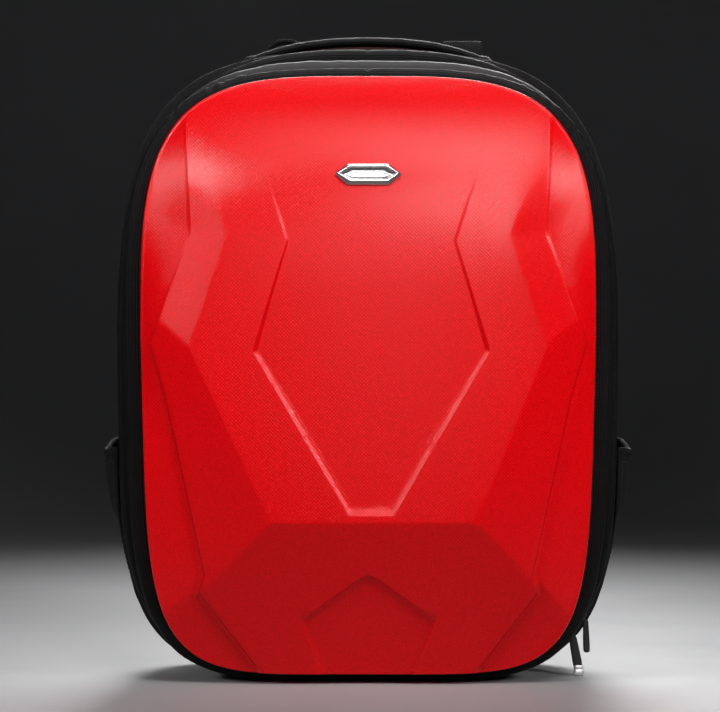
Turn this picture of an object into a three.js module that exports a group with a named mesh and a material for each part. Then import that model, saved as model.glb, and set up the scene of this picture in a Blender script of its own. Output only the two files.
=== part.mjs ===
import * as THREE from "three";
import { mergeVertices } from "three/addons/utils/BufferGeometryUtils.js";

// Motorcycle backpack: a hollow hard shell zipped onto a soft textile body with two padded shoulder straps.
// Millimetres, +Z up, the shell faces -Y. Depth y runs back from the plane of the shell's rim.

const GAP = 0.4; // clear space between neighbouring pieces
const RING_STEPS = 60; // facets round the bag's outline
const CORNER_CROWD = 0.09; // how far the facets crowd towards the outline's corners

const SHELL_WALL = 2.6;
const SHELL_EDGE = 4; // chamfer that turns the shell's face into its side wall
const SHELL_DRAFT = 0.075; // how far the side wall leans in for each millimetre of its height
const SHELL_SINK = 3.2; // how far the hollow side lies behind the face

const FRONT_ROLL = { y: 6.4, across: 7.2, deep: 6 };
const GUSSET = { front: 12.8, back: 33, bulge: 3, tuck: 5, cloth: 2 };
const ZIP = { front: 33.4, back: 43.4, rise: 5, tape: 1.6, chain: 1.8 };
const MID_ROLL = { y: 49.3, across: 5.5, deep: 5.5 };
const BODY = { front: 55.2, back: 118, bulge: 1.5, corner: 6, cloth: 2.2, panel: 3 };
const BACK_ROLL = { y: 122, across: 3.6, deep: 3.6 };
const BACK_PAD = { front: 118.4, thick: 13.5, edge: 7 };
const YOKE = { front: 126.1, thick: 2.4, half: 47, zFoot: 403, zTop: 442, corner: 9 };
const HANDLE = { y: 106, half: 80, zEnd: 425.7, zTop: 441.2, wide: 17, thick: 6.4, endThick: 3 };
const POCKET = { front: 60, back: 110, cloth: 1.8, zFoot: 62, zMouth: 154, lipFall: 7, backRise: 6 };
const BADGE = { z: 336, half: 22, shoulder: 13.6, high: 15, thick: 3, bevel: 2.2 };
const LOOP = { thick: 2.4, facingWide: 28, edgeOnWide: 20, facingX: 68.5, edgeOnY: 137 };
const WEBBING = { wide: 26, thick: 2 };
const BUCKLE = { wide: 36, high: 26, thick: 4, bar: 4.5, x: 98, y: 157.3, z: 150, lean: -15 };
const SLIDER = { along: 9, wide: 6.5, high: 4.2, lift: 0.9 };
const PULL_THICK = 1.6;
const PULL_TIP = { x: 143.9, z: 4, wide: 5.5, high: 6.6, thick: 3 };

// Outlines seen from the front: superellipses about (0, zWide) that reach zTop and zFoot, with the powers
// "top" and "foot" that square their corners above and below.
const OUTLINES = {
  shell: { half: 152, zWide: 232, zTop: 405.8, zFoot: 5.8, top: 3.7, foot: 5.4, taper: 0.035 },
  frontRoll: { half: 156.5, zWide: 232, zTop: 403.2, zFoot: 7.6, top: 3.6, foot: 5.2, taper: 0.035 },
  gusset: { half: 160, zWide: 230, zTop: 416, zFoot: 5.5, top: 3.4, foot: 4.9, taper: 0.03 },
  midRoll: { half: 168.3, zWide: 222, zTop: 423.6, zFoot: 6.2, top: 2.9, foot: 4.6, taper: 0.02 },
  body: { half: 172, zWide: 215, zTop: 427, zFoot: -3, top: 3.5, foot: 4.4, taper: 0 },
  backRoll: { half: 164, zWide: 215, zTop: 421.5, zFoot: 5, top: 3.5, foot: 4.2, taper: 0 },
  backPad: { half: 112, zWide: 215, zTop: 393, zFoot: 40, top: 3.2, foot: 3.4, taper: 0.08 },
};

const COLOURS = {
  red: { color: 0xd8202a, roughness: 0.38, metalness: 0 },
  chrome: { color: 0xd0d2d6, roughness: 0.15, metalness: 1 },
  cloth: { color: 0x1b191b, roughness: 0.85, metalness: 0 },
  satin: { color: 0x423d3f, roughness: 0.6, metalness: 0 },
  piping: { color: 0x262122, roughness: 0.75, metalness: 0 },
  tape: { color: 0x0d0c0d, roughness: 0.7, metalness: 0 },
  maroon: { color: 0x5a3032, roughness: 0.8, metalness: 0 },
  webbing: { color: 0x141314, roughness: 0.75, metalness: 0 },
  plastic: { color: 0x101011, roughness: 0.45, metalness: 0 },
};

const bag = new THREE.Group();

function addPiece(name, colour, geometry) {
  const mesh = new THREE.Mesh(facedOut(geometry), new THREE.MeshStandardMaterial(COLOURS[colour]));
  mesh.name = name;
  bag.add(mesh);
}

// A closed geometry from triangles of points.
function fromTriangles(triangles) {
  const numbers = triangles.flatMap((triangle) => triangle.flatMap((p) => [p.x, p.y, p.z]));
  const geometry = new THREE.BufferGeometry();
  geometry.setAttribute("position", new THREE.Float32BufferAttribute(numbers, 3));
  return mergeVertices(geometry, 1e-3);
}

// Turns every face round when the enclosed volume comes out negative.
function facedOut(geometry) {
  const at = geometry.getAttribute("position");
  const index = geometry.getIndex();
  const corner = (i) => new THREE.Vector3().fromBufferAttribute(at, index.getX(i));
  let volume = 0;
  for (let i = 0; i < index.count; i += 3) {
    volume += corner(i).dot(corner(i + 1).cross(corner(i + 2)));
  }
  if (volume < 0) {
    for (let i = 0; i < index.count; i += 3) {
      const kept = index.getX(i + 1);
      index.setX(i + 1, index.getX(i + 2));
      index.setX(i + 2, kept);
    }
  }
  geometry.computeVertexNormals();
  return geometry;
}

function strip(ringA, ringB) {
  return ringA.flatMap((a, i) => {
    const next = (i + 1) % ringA.length;
    return [
      [a, ringA[next], ringB[next]],
      [a, ringB[next], ringB[i]],
    ];
  });
}

function fan(ring, centre) {
  return ring.map((p, i) => [p, ring[(i + 1) % ring.length], centre]);
}

function middleOf(ring) {
  const sum = ring.reduce((total, p) => total.add(p), new THREE.Vector3());
  return sum.divideScalar(ring.length);
}

// Rings joined in order: back to the first one for a tube, or closed at both ends for a solid.
function loft(rings, closing) {
  const triangles = rings.slice(1).flatMap((ring, i) => strip(rings[i], ring));
  const first = rings[0];
  const last = rings[rings.length - 1];
  if (closing === "tube") {
    triangles.push(...strip(last, first));
  } else {
    triangles.push(...fan([...first].reverse(), middleOf(first)));
    triangles.push(...fan(last, middleOf(last)));
  }
  return fromTriangles(triangles);
}

function outlinePoint(outline, angle) {
  const c = Math.cos(angle);
  const s = Math.sin(angle);
  const reach = s >= 0 ? outline.zTop - outline.zWide : outline.zWide - outline.zFoot;
  const power = s >= 0 ? outline.top : outline.foot;
  const r = (Math.abs(c / outline.half) ** power + Math.abs(s / reach) ** power) ** (-1 / power);
  const fall = s < 0 ? (outline.taper * r * -s) / reach : 0;
  return new THREE.Vector2(r * c * (1 - fall), outline.zWide + r * s);
}

// The outline moved outwards by grow along its normal. Nothing goes below the floor.
function grownPoint(outline, angle, grow) {
  const here = outlinePoint(outline, angle);
  const along = outlinePoint(outline, angle + 0.01).sub(outlinePoint(outline, angle - 0.01)).normalize();
  return new THREE.Vector2(here.x + along.y * grow, Math.max(here.y - along.x * grow, 0));
}

function outlineHalf(outline, z) {
  const reach = z >= outline.zWide ? outline.zTop - outline.zWide : outline.zWide - outline.zFoot;
  const power = z >= outline.zWide ? outline.top : outline.foot;
  const share = Math.min(Math.abs(z - outline.zWide) / reach, 1);
  return outline.half * (1 - share ** power) ** (1 / power);
}

function ringAt(outline, grow, y) {
  return Array.from({ length: RING_STEPS }, (_, i) => {
    const turn = (i / RING_STEPS) * 2 * Math.PI;
    const p = grownPoint(outline, turn + CORNER_CROWD * Math.sin(4 * turn), grow);
    return new THREE.Vector3(p.x, y, p.y);
  });
}

// A band round the outline whose cross-section is the closed list of [grow, y].
function around(outline, section) {
  return loft(
    section.map(([grow, y]) => ringAt(outline, grow, y)),
    "tube",
  );
}

// A stuffed roll: a squarish round section, so that its sides lie against the pieces in front and behind.
function rollSection(roll, facets) {
  return Array.from({ length: facets }, (_, i) => {
    const turn = ((i + 0.5) / facets) * 2 * Math.PI;
    const c = Math.cos(turn);
    const s = Math.sin(turn);
    const r = (Math.abs(c) ** 3 + Math.abs(s) ** 3) ** (-1 / 3);
    return [r * c * roll.across, roll.y + r * s * roll.deep];
  });
}

// A strap along a curve: stations carry its width and thickness, and "across" is the direction of its width.
function strap(stations, across, steps) {
  const curve = new THREE.CatmullRomCurve3(stations.map((s) => new THREE.Vector3(s.x, s.y, s.z)));
  const rings = [];
  for (let i = 0; i <= steps; i++) {
    const t = i / steps;
    const place = t * (stations.length - 1);
    const from = stations[Math.min(Math.floor(place), stations.length - 2)];
    const to = stations[Math.min(Math.floor(place) + 1, stations.length - 1)];
    const share = place - Math.min(Math.floor(place), stations.length - 2);
    const wide = THREE.MathUtils.lerp(from.wide, to.wide, share) / 2;
    const thick = THREE.MathUtils.lerp(from.thick, to.thick, share) / 2;
    const along = curve.getTangent(t);
    const normal = along.clone().cross(across).normalize();
    const side = normal.clone().cross(along).normalize();
    const soft = Math.min(thick * 1.2, wide * 0.5);
    const section = [
      [wide, -thick * 0.4],
      [wide, thick * 0.4],
      [wide - soft, thick],
      [0, thick],
      [soft - wide, thick],
      [-wide, thick * 0.4],
      [-wide, -thick * 0.4],
      [soft - wide, -thick],
      [0, -thick],
      [wide - soft, -thick],
    ];
    const centre = curve.getPoint(t);
    rings.push(
      section.map(([w, h]) => centre.clone().addScaledVector(side, w).addScaledVector(normal, h)),
    );
  }
  return loft(rings, "solid");
}

// Hard shell. Named points of its right half, as x, z and depth in front of the rim plane. "Hi" and "Lo" are
// the two sides of the outer step. A capital V is the top of the sunk panel's bevel, a small v its floor.
const NET = {
  browC: { x: 0, z: 388, depth: 27 },
  brow1: { x: 62, z: 386, depth: 26 },
  brow2: { x: 100, z: 372, depth: 31 },
  foreC: { x: 0, z: 366, depth: 40.5 },
  fore1: { x: 86, z: 350, depth: 43.5 },
  waist: { x: 91, z: 297, depth: 55 },
  hip: { x: 116.5, z: 225, depth: 54 },
  crestCorner: { x: 68.5, z: 111, depth: 62.5 },
  crestC: { x: 0, z: 111, depth: 65 },
  stepWaistHi: { x: 116, z: 295, depth: 48 },
  stepWaistLo: { x: 118.5, z: 294.5, depth: 45.5 },
  stepSideHi: { x: 135, z: 247.5, depth: 47 },
  stepSideLo: { x: 137.5, z: 248.5, depth: 44.5 },
  stepHipHi: { x: 141, z: 226, depth: 42.8 },
  stepHipLo: { x: 143.5, z: 226, depth: 40 },
  stepLegHi: { x: 106.5, z: 73.5, depth: 40.5 },
  stepLegLo: { x: 109.5, z: 73.5, depth: 37 },
  stepJogHi: { x: 111, z: 62.5, depth: 36 },
  stepJogLo: { x: 114, z: 64, depth: 33 },
  VTopC: { x: 0, z: 350, depth: 47.8 },
  VShoulder: { x: 73, z: 332, depth: 50.6 },
  VWaist: { x: 57, z: 290, depth: 58.7 },
  VHip: { x: 76, z: 222, depth: 59.3 },
  VFoot: { x: 15, z: 118, depth: 64.6 },
  VFootC: { x: 0, z: 118, depth: 64.8 },
  vTopC: { x: 0, z: 345, depth: 49.4 },
  vShoulder: { x: 64, z: 330, depth: 51.3 },
  vMidC: { x: 0, z: 300, depth: 58.6 },
  vWaist: { x: 48.5, z: 290, depth: 57.2 },
  vHip: { x: 67, z: 223, depth: 57.6 },
  vFoot: { x: 11, z: 127, depth: 62 },
  vFootC: { x: 0, z: 127, depth: 62.2 },
  pentTopC: { x: 0, z: 75.5, depth: 47.8 },
  pentSide: { x: 44, z: 45, depth: 33 },
  pentInTopC: { x: 0, z: 72.5, depth: 45 },
  pentInSide: { x: 40.5, z: 44.5, depth: 31.4 },
  pentInFoot: { x: 26, z: 12.5, depth: 16 },
  pentInFootC: { x: 0, z: 12.5, depth: 16 },
};

// Places on the rim, as the angle about the outline's centre and the height of the side wall there.
const RIM = [
  { name: "top", angle: 90, depth: 15, steps: 7 },
  { name: "shoulder", angle: 49.5, depth: 27, steps: 9 },
  { name: "side", angle: 0, depth: 33, steps: 9 },
  { name: "corner", angle: -54, depth: 26, steps: 4 },
  { name: "stepFoot", angle: -73.6, depth: 14.5, steps: 2 },
  { name: "pentFoot", angle: -83, depth: 14.5, steps: 2 },
  { name: "foot", angle: -90, depth: 14.5, steps: 0 },
];

function rimPoint(angle, depth) {
  const inset = SHELL_EDGE + SHELL_DRAFT * depth;
  const p = grownPoint(OUTLINES.shell, THREE.MathUtils.degToRad(angle), -inset);
  return { x: Math.abs(p.x) < 1e-6 ? 0 : p.x, z: p.y, depth, angle };
}

// The right half of the rim from top to foot, and where each named place falls in it.
const rim = [];
const rimStart = {};
RIM.forEach((place, i) => {
  rimStart[place.name] = rim.length;
  const next = RIM[i + 1] ?? place;
  for (let k = 0; k < Math.max(place.steps, 1); k++) {
    const share = place.steps ? k / place.steps : 0;
    rim.push(
      rimPoint(
        THREE.MathUtils.lerp(place.angle, next.angle, share),
        THREE.MathUtils.lerp(place.depth, next.depth, share),
      ),
    );
  }
});

const rimRun = (from, to) => rim.slice(rimStart[from], rimStart[to] + 1);
const at = (...names) => names.map((name) => NET[name]);
const rimAt = (name) => rim[rimStart[name]];

const FACETS = [
  [...rimRun("top", "shoulder"), ...at("brow2", "brow1", "browC")],
  at("browC", "brow1", "fore1", "foreC"),
  at("brow1", "brow2", "fore1"),
  [NET.brow2, rimAt("shoulder"), ...at("waist", "fore1")],
  at("foreC", "fore1", "VShoulder", "VTopC"),
  at("fore1", "waist", "VWaist", "VShoulder"),
  at("waist", "hip", "VHip", "VWaist"),
  at("hip", "crestCorner", "VFoot", "VHip"),
  at("crestCorner", "crestC", "VFootC", "VFoot"),
  at("VTopC", "VShoulder", "vShoulder", "vTopC"),
  at("VShoulder", "VWaist", "vWaist", "vShoulder"),
  at("VWaist", "VHip", "vHip", "vWaist"),
  at("VHip", "VFoot", "vFoot", "vHip"),
  at("VFoot", "VFootC", "vFootC", "vFoot"),
  at("vTopC", "vShoulder", "vMidC"),
  at("vShoulder", "vWaist", "vMidC"),
  at("vMidC", "vWaist", "vHip", "vFoot", "vFootC"),
  [rimAt("shoulder"), ...at("stepWaistHi", "waist")],
  at("waist", "stepWaistHi", "stepSideHi", "hip"),
  at("hip", "stepSideHi", "stepHipHi", "stepLegHi", "crestCorner"),
  [
    ...at("crestC", "crestCorner", "stepLegHi", "stepJogHi"),
    ...rimRun("stepFoot", "pentFoot"),
    ...at("pentSide", "pentTopC"),
  ],
  at("pentTopC", "pentSide", "pentInSide", "pentInTopC"),
  [NET.pentSide, rimAt("pentFoot"), ...at("pentInFoot", "pentInSide")],
  [...rimRun("pentFoot", "foot"), ...at("pentInFootC", "pentInFoot")],
  at("pentInTopC", "pentInSide", "pentInFoot", "pentInFootC"),
  [rimAt("shoulder"), ...at("stepWaistLo", "stepWaistHi")],
  at("stepWaistHi", "stepWaistLo", "stepSideLo", "stepSideHi"),
  at("stepSideHi", "stepSideLo", "stepHipLo", "stepHipHi"),
  at("stepHipHi", "stepHipLo", "stepLegLo", "stepLegHi"),
  at("stepLegHi", "stepLegLo", "stepJogLo", "stepJogHi"),
  [...at("stepJogHi", "stepJogLo"), rimAt("stepFoot")],
  [...rimRun("shoulder", "side"), ...at("stepHipLo", "stepSideLo", "stepWaistLo")],
  [...rimRun("side", "corner"), ...at("stepJogLo", "stepLegLo", "stepHipLo")],
  [...rimRun("corner", "stepFoot"), NET.stepJogLo],
];

// Both halves of the faceted face as triangles of points. "place" puts a net point into space.
function faceTriangles(place) {
  return FACETS.flatMap((facet) =>
    [1, -1].flatMap((side) => {
      const flat = facet.map((p) => new THREE.Vector2(side * p.x, p.z));
      const turned = THREE.ShapeUtils.triangulateShape(flat, []);
      return turned.map((triangle) => {
        const [a, b, c] = triangle;
        const area = flat[b].clone().sub(flat[a]).cross(flat[c].clone().sub(flat[a]));
        const order = area > 0 ? [a, b, c] : [a, c, b];
        return order.map((i) => place(side, facet[i]));
      });
    }),
  );
}

const faceOut = (side, p) => new THREE.Vector3(side * p.x, -p.depth, p.z);
const hollow = 1 - SHELL_WALL / OUTLINES.shell.half;
const faceIn = (side, p) => {
  const z = OUTLINES.shell.zWide + (p.z - OUTLINES.shell.zWide) * hollow;
  return new THREE.Vector3(side * p.x * hollow, SHELL_SINK - p.depth, z);
};

// A full turn of the rim, right half down and left half up, at one inset and one height of the wall.
function rimRing(inset, heightOf) {
  const half = (side) =>
    rim.map((p) => {
      const height = heightOf(p.depth);
      const turn = THREE.MathUtils.degToRad(p.angle);
      const q = grownPoint(OUTLINES.shell, turn, -inset - SHELL_DRAFT * height);
      return new THREE.Vector3(side * q.x, -height, q.y);
    });
  return [...half(1), ...half(-1).slice(1, -1).reverse()];
}

const netRing = (place) => [
  ...rim.map((p) => place(1, p)),
  ...rim.slice(1, -1).reverse().map((p) => place(-1, p)),
];

const wallRings = [
  netRing(faceOut),
  rimRing(0, (depth) => depth - SHELL_EDGE - 1),
  rimRing(0, () => 0),
  rimRing(SHELL_WALL, () => 0),
  rimRing(SHELL_WALL, (depth) => depth - SHELL_EDGE - SHELL_SINK),
  netRing(faceIn),
];

addPiece(
  "shell",
  "red",
  fromTriangles([
    ...faceTriangles(faceOut),
    ...wallRings.slice(1).flatMap((ring, i) => strip(wallRings[i], ring)),
    ...faceTriangles(faceIn).map((triangle) => [...triangle].reverse()),
  ]),
);

// Plain bevelled badge on the brow of the shell, leaning back with the face.
function badgeGeometry() {
  const { half, shoulder, high, thick, bevel } = BADGE;
  const corners = [
    [half, 0],
    [shoulder, high / 2],
    [-shoulder, high / 2],
    [-half, 0],
    [-shoulder, -high / 2],
    [shoulder, -high / 2],
  ];
  const ring = (inset, y) =>
    corners.map(([x, z]) => new THREE.Vector3(x * (1 - inset / half), y, z * (1 - (2 * inset) / high)));
  const geometry = loft([ring(0, 0), ring(0, -thick / 3), ring(bevel, -thick)], "solid");
  const { vTopC, vMidC } = NET;
  const lean = Math.atan2(vMidC.depth - vTopC.depth, vTopC.z - vMidC.z);
  const share = (BADGE.z - vMidC.z) / (vTopC.z - vMidC.z);
  geometry.rotateX(-lean);
  geometry.translate(0, -THREE.MathUtils.lerp(vMidC.depth, vTopC.depth, share) - GAP, BADGE.z);
  return geometry;
}
addPiece("badge", "chrome", badgeGeometry());

// Bands round the bag, front to back.
addPiece("front_roll", "piping", around(OUTLINES.frontRoll, rollSection(FRONT_ROLL, 10)));

// The gusset is a cloth wall that swells a little between its seams, tucked in behind the front roll.
const gussetOuter = [0, 0.25, 0.5, 0.75, 1].map((share) => [
  GUSSET.bulge * Math.sin(Math.PI * share) - GUSSET.tuck * (1 - share) ** 4,
  THREE.MathUtils.lerp(GUSSET.front, GUSSET.back, share),
]);
const gussetInner = gussetOuter.map(([grow, y]) => [grow - GUSSET.cloth, y]).reverse();
addPiece("front_gusset", "satin", around(OUTLINES.gusset, [...gussetOuter, ...gussetInner]));

// The zip band climbs from the gusset to the middle roll, with the chain as a ridge along its middle.
const zipAt = (share, out) => [ZIP.rise * share + out, THREE.MathUtils.lerp(ZIP.front, ZIP.back, share)];
addPiece(
  "zip_chain",
  "tape",
  around(OUTLINES.gusset, [
    zipAt(0, 0),
    zipAt(0.3, 0),
    zipAt(0.36, ZIP.chain),
    zipAt(0.64, ZIP.chain),
    zipAt(0.7, 0),
    zipAt(1, 0),
    zipAt(1, -ZIP.tape),
    zipAt(0, -ZIP.tape),
  ]),
);

addPiece("mid_roll", "piping", around(OUTLINES.midRoll, rollSection(MID_ROLL, 8)));

// The body is a cloth tub, open to the front, with a thicker back panel: rows of grow and y.
const tubOuter = [
  [0, BODY.front],
  [BODY.bulge, BODY.front + 6],
  [BODY.bulge, BODY.back - 9],
  [0, BODY.back - 4],
  [-BODY.corner, BODY.back],
];
const tubInner = [
  [-BODY.corner - BODY.cloth, BODY.back - BODY.panel],
  [-BODY.cloth, BODY.back - 7],
  [BODY.bulge - BODY.cloth, BODY.back - 11],
  [BODY.bulge - BODY.cloth, BODY.front + 6],
  [-BODY.cloth, BODY.front],
];

// The tub's inner floor keeps its cloth above the outer one, which is flattened on the ground.
function tubRing([grow, y], lift) {
  return ringAt(OUTLINES.body, grow, y).map((p) => p.setZ(Math.max(p.z, lift)));
}
addPiece(
  "body",
  "cloth",
  loft(
    [
      ...tubOuter.slice().reverse().map((row) => tubRing(row, 0)),
      ...tubInner.slice().reverse().map((row) => tubRing(row, BODY.cloth)),
    ],
    "solid",
  ),
);

addPiece("back_roll", "piping", around(OUTLINES.backRoll, rollSection(BACK_ROLL, 6)));

addPiece(
  "back_pad",
  "cloth",
  loft(
    [
      ringAt(OUTLINES.backPad, -2, BACK_PAD.front),
      ringAt(OUTLINES.backPad, 0, BACK_PAD.front + 2),
      ringAt(OUTLINES.backPad, 0, BACK_PAD.front + BACK_PAD.thick - BACK_PAD.edge),
      ringAt(OUTLINES.backPad, -BACK_PAD.edge * 0.4, BACK_PAD.front + BACK_PAD.thick - 2),
      ringAt(OUTLINES.backPad, -BACK_PAD.edge * 1.4, BACK_PAD.front + BACK_PAD.thick),
    ],
    "solid",
  ),
);

// Yoke between the straps: a flat tab with rounded top corners.
function yokeGeometry() {
  const { half, zFoot, zTop, corner, front, thick } = YOKE;
  const shape = new THREE.Shape();
  shape.moveTo(-half, zFoot);
  shape.lineTo(half, zFoot);
  shape.lineTo(half, zTop - corner);
  shape.absarc(half - corner, zTop - corner, corner, 0, Math.PI / 2);
  shape.absarc(corner - half, zTop - corner, corner, Math.PI / 2, Math.PI);
  const geometry = new THREE.ExtrudeGeometry(shape, { depth: thick, bevelEnabled: false, curveSegments: 5 });
  geometry.rotateX(Math.PI / 2);
  geometry.translate(0, front + thick, 0);
  geometry.deleteAttribute("uv");
  geometry.deleteAttribute("normal");
  return mergeVertices(geometry, 1e-3);
}
addPiece("yoke", "maroon", yokeGeometry());

// Carrying handle: a flattened arch over the top, thin where it is sewn down.
const handleStations = [-1, -0.86, -0.6, -0.3, 0, 0.3, 0.6, 0.86, 1].map((share) => {
  const held = Math.min(1, (1 - Math.abs(share)) / 0.25);
  return {
    x: share * HANDLE.half,
    y: HANDLE.y,
    z: THREE.MathUtils.lerp(HANDLE.zEnd, HANDLE.zTop, 1 - Math.abs(share) ** 2.2),
    wide: HANDLE.wide,
    thick: THREE.MathUtils.lerp(HANDLE.endThick, HANDLE.thick, held),
  };
});
addPiece("handle", "cloth", strap(handleStations, new THREE.Vector3(0, 1, 0), 20));

// Side pocket: one cloth sheet sewn down at the foot and both edges, standing open at the mouth.
const POCKET_ACROSS = [0, 0.06, 0.18, 0.34, 0.5, 0.66, 0.82, 0.94, 1];
const POCKET_LEVELS = [
  { share: 0, bulge: 1.2 },
  { share: 0.25, bulge: 2.6 },
  { share: 0.5, bulge: 4.4 },
  { share: 0.62, bulge: 6 },
  { share: 0.78, bulge: 8.6 },
  { share: 1, bulge: 9.4 },
];
function pocketGeometry(side) {
  const rings = POCKET_LEVELS.map(({ share, bulge }) => {
    const point = (t, out) => {
      const lip = POCKET.lipFall * share * Math.sin(Math.PI * t) ** 2 * (1 - t);
      const z = THREE.MathUtils.lerp(POCKET.zFoot, POCKET.zMouth + POCKET.backRise * t, share) - lip;
      const seat = outlineHalf(OUTLINES.body, z) + BODY.bulge + GAP;
      const swell = bulge * Math.sin(Math.PI * t) ** 0.7;
      const y = THREE.MathUtils.lerp(POCKET.front, POCKET.back, t);
      return new THREE.Vector3(side * (seat + swell + out), y, z);
    };
    const outer = POCKET_ACROSS.map((t) => point(t, POCKET.cloth));
    const inner = POCKET_ACROSS.map((t) => point(t, 0));
    return [...outer, ...inner.reverse()];
  });
  return loft(rings, "solid");
}

// Shoulder strap, right-hand side: from its root on the back panel, over a slack bow, to its narrow end.
const SHOULDER_STRAP = [
  { x: 66, y: 120.7, z: 406.5, wide: 34, thick: 7 },
  { x: 66, y: 131, z: 411, wide: 36, thick: 8 },
  { x: 65.5, y: 144, z: 406, wide: 44, thick: 10 },
  { x: 65, y: 154, z: 388, wide: 54, thick: 12 },
  { x: 64, y: 166, z: 350, wide: 60, thick: 12 },
  { x: 66, y: 175, z: 302, wide: 60, thick: 12 },
  { x: 74, y: 176, z: 252, wide: 56, thick: 12 },
  { x: 85, y: 168, z: 206, wide: 48, thick: 11 },
  { x: 94, y: 157, z: 172, wide: 38, thick: 9 },
];
const STRAP_WEBBING = [
  { x: 94.6, y: 156, z: 166.5, ...WEBBING },
  { x: 99, y: 149, z: 140, ...WEBBING },
  { x: 108, y: 138, z: 106, ...WEBBING },
  { x: 115, y: 127, z: 74, ...WEBBING },
  { x: 118, y: 120.6, z: 55, ...WEBBING },
  { x: 118.5, y: 119.7, z: 42, ...WEBBING },
];

// The two loops that stand above the strap roots: one shows its face to the front, the other its edge.
const LOOP_FACING = [
  { y: 128.6, z: 415.2 },
  { y: 128.6, z: 432 },
  { y: 130.8, z: 442 },
  { y: 135.5, z: 444.6 },
  { y: 140, z: 440 },
  { y: 142, z: 430 },
  { y: 142.5, z: 413 },
].map((row) => ({ ...row, x: LOOP.facingX, wide: LOOP.facingWide, thick: LOOP.thick }));
const LOOP_EDGE_ON = [
  { x: -50, z: 415.8 },
  { x: -49.6, z: 431 },
  { x: -50.8, z: 441 },
  { x: -56, z: 445 },
  { x: -64, z: 444.6 },
  { x: -71, z: 440 },
  { x: -75.4, z: 431 },
  { x: -75, z: 415.8 },
].map((row) => ({ ...row, y: LOOP.edgeOnY, wide: LOOP.edgeOnWide, thick: LOOP.thick }));

// Ladder buckle: a flat frame with two slots, lying on the outer face of the webbing.
function buckleGeometry(side) {
  const { wide, high, thick, bar } = BUCKLE;
  const shape = new THREE.Shape();
  const box = (path, x0, z0, x1, z1) =>
    path.setFromPoints([
      new THREE.Vector2(x0, z0),
      new THREE.Vector2(x1, z0),
      new THREE.Vector2(x1, z1),
      new THREE.Vector2(x0, z1),
    ]);
  box(shape, -wide / 2, -high / 2, wide / 2, high / 2);
  [-1, 1].forEach((half) => {
    const middle = (half * high) / 4;
    const reach = high / 4 - (bar * 3) / 4;
    shape.holes.push(box(new THREE.Path(), bar - wide / 2, middle - reach, wide / 2 - bar, middle + reach));
  });
  const geometry = new THREE.ExtrudeGeometry(shape, { depth: thick, bevelEnabled: false });
  geometry.rotateX(Math.PI / 2);
  geometry.rotateX(THREE.MathUtils.degToRad(BUCKLE.lean));
  geometry.translate(side * BUCKLE.x, BUCKLE.y, BUCKLE.z);
  geometry.deleteAttribute("uv");
  geometry.deleteAttribute("normal");
  return mergeVertices(geometry, 1e-3);
}

const mirrored = (stations, side) => stations.map((s) => ({ ...s, x: side * s.x }));
const ALONG_X = new THREE.Vector3(1, 0, 0);
const ALONG_Y = new THREE.Vector3(0, 1, 0);
[
  { name: "left", side: -1 },
  { name: "right", side: 1 },
].forEach(({ name, side }) => {
  addPiece("side_pocket_" + name, "cloth", pocketGeometry(side));
  addPiece("shoulder_strap_" + name, "cloth", strap(mirrored(SHOULDER_STRAP, side), ALONG_X, 22));
  addPiece("strap_webbing_" + name, "webbing", strap(mirrored(STRAP_WEBBING, side), ALONG_X, 12));
  addPiece("strap_buckle_" + name, "plastic", buckleGeometry(side));
});
addPiece("strap_loop_right", "webbing", strap(LOOP_FACING, ALONG_X, 18));
addPiece("strap_loop_left", "webbing", strap(LOOP_EDGE_ON, ALONG_Y, 18));

// Zip sliders at the lower right corner, each with a pull hanging in front of it.
const SLIDERS = [
  { name: "lower", angle: -55.2, wide: 5, top: { x: 139.6, z: 27.5 }, foot: { x: 143.2, z: 8 } },
  { name: "upper", angle: -52.2, wide: 4, top: { x: 148.6, z: 38.5 }, foot: { x: 149.4, z: 16 } },
];
const zipMiddle = (ZIP.front + ZIP.back) / 2;
const chainTop = ZIP.rise / 2 + ZIP.chain;
const pullY = zipMiddle - SLIDER.wide / 2 - GAP - PULL_THICK / 2;

function boxAt(width, depth, height, turn, x, y, z) {
  const geometry = new THREE.BoxGeometry(width, depth, height);
  geometry.deleteAttribute("uv");
  geometry.deleteAttribute("normal");
  geometry.rotateY(turn);
  geometry.translate(x, y, z);
  return mergeVertices(geometry, 1e-3);
}

SLIDERS.forEach(({ name, angle, wide, top, foot }) => {
  const turn = THREE.MathUtils.degToRad(angle);
  const base = grownPoint(OUTLINES.gusset, turn, chainTop);
  const seat = grownPoint(OUTLINES.gusset, turn, chainTop + SLIDER.lift + SLIDER.high / 2);
  const roll = Math.atan2(seat.x - base.x, seat.y - base.y);
  addPiece(
    "zip_slider_" + name,
    "plastic",
    boxAt(SLIDER.along, SLIDER.wide, SLIDER.high, roll, seat.x, zipMiddle, seat.y),
  );
  const long = Math.hypot(foot.x - top.x, foot.z - top.z);
  const lean = Math.atan2(top.x - foot.x, top.z - foot.z);
  addPiece(
    "zip_pull_" + name,
    "plastic",
    boxAt(wide, PULL_THICK, long, lean, (top.x + foot.x) / 2, pullY, (top.z + foot.z) / 2),
  );
});
addPiece(
  "pull_tip",
  "chrome",
  boxAt(PULL_TIP.wide, PULL_TIP.thick, PULL_TIP.high, 0, PULL_TIP.x, pullY, PULL_TIP.z),
);

// The bag stands on z = 0 with its box centred over the origin.
const box = new THREE.Box3().setFromObject(bag);
bag.position.set(-(box.min.x + box.max.x) / 2, -(box.min.y + box.max.y) / 2, -box.min.z);

export default bag;
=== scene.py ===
import math
from collections import namedtuple
from types import SimpleNamespace as Sizes

import bmesh
import bpy
import numpy as np
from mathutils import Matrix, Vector
from mathutils.bvhtree import BVHTree


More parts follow.
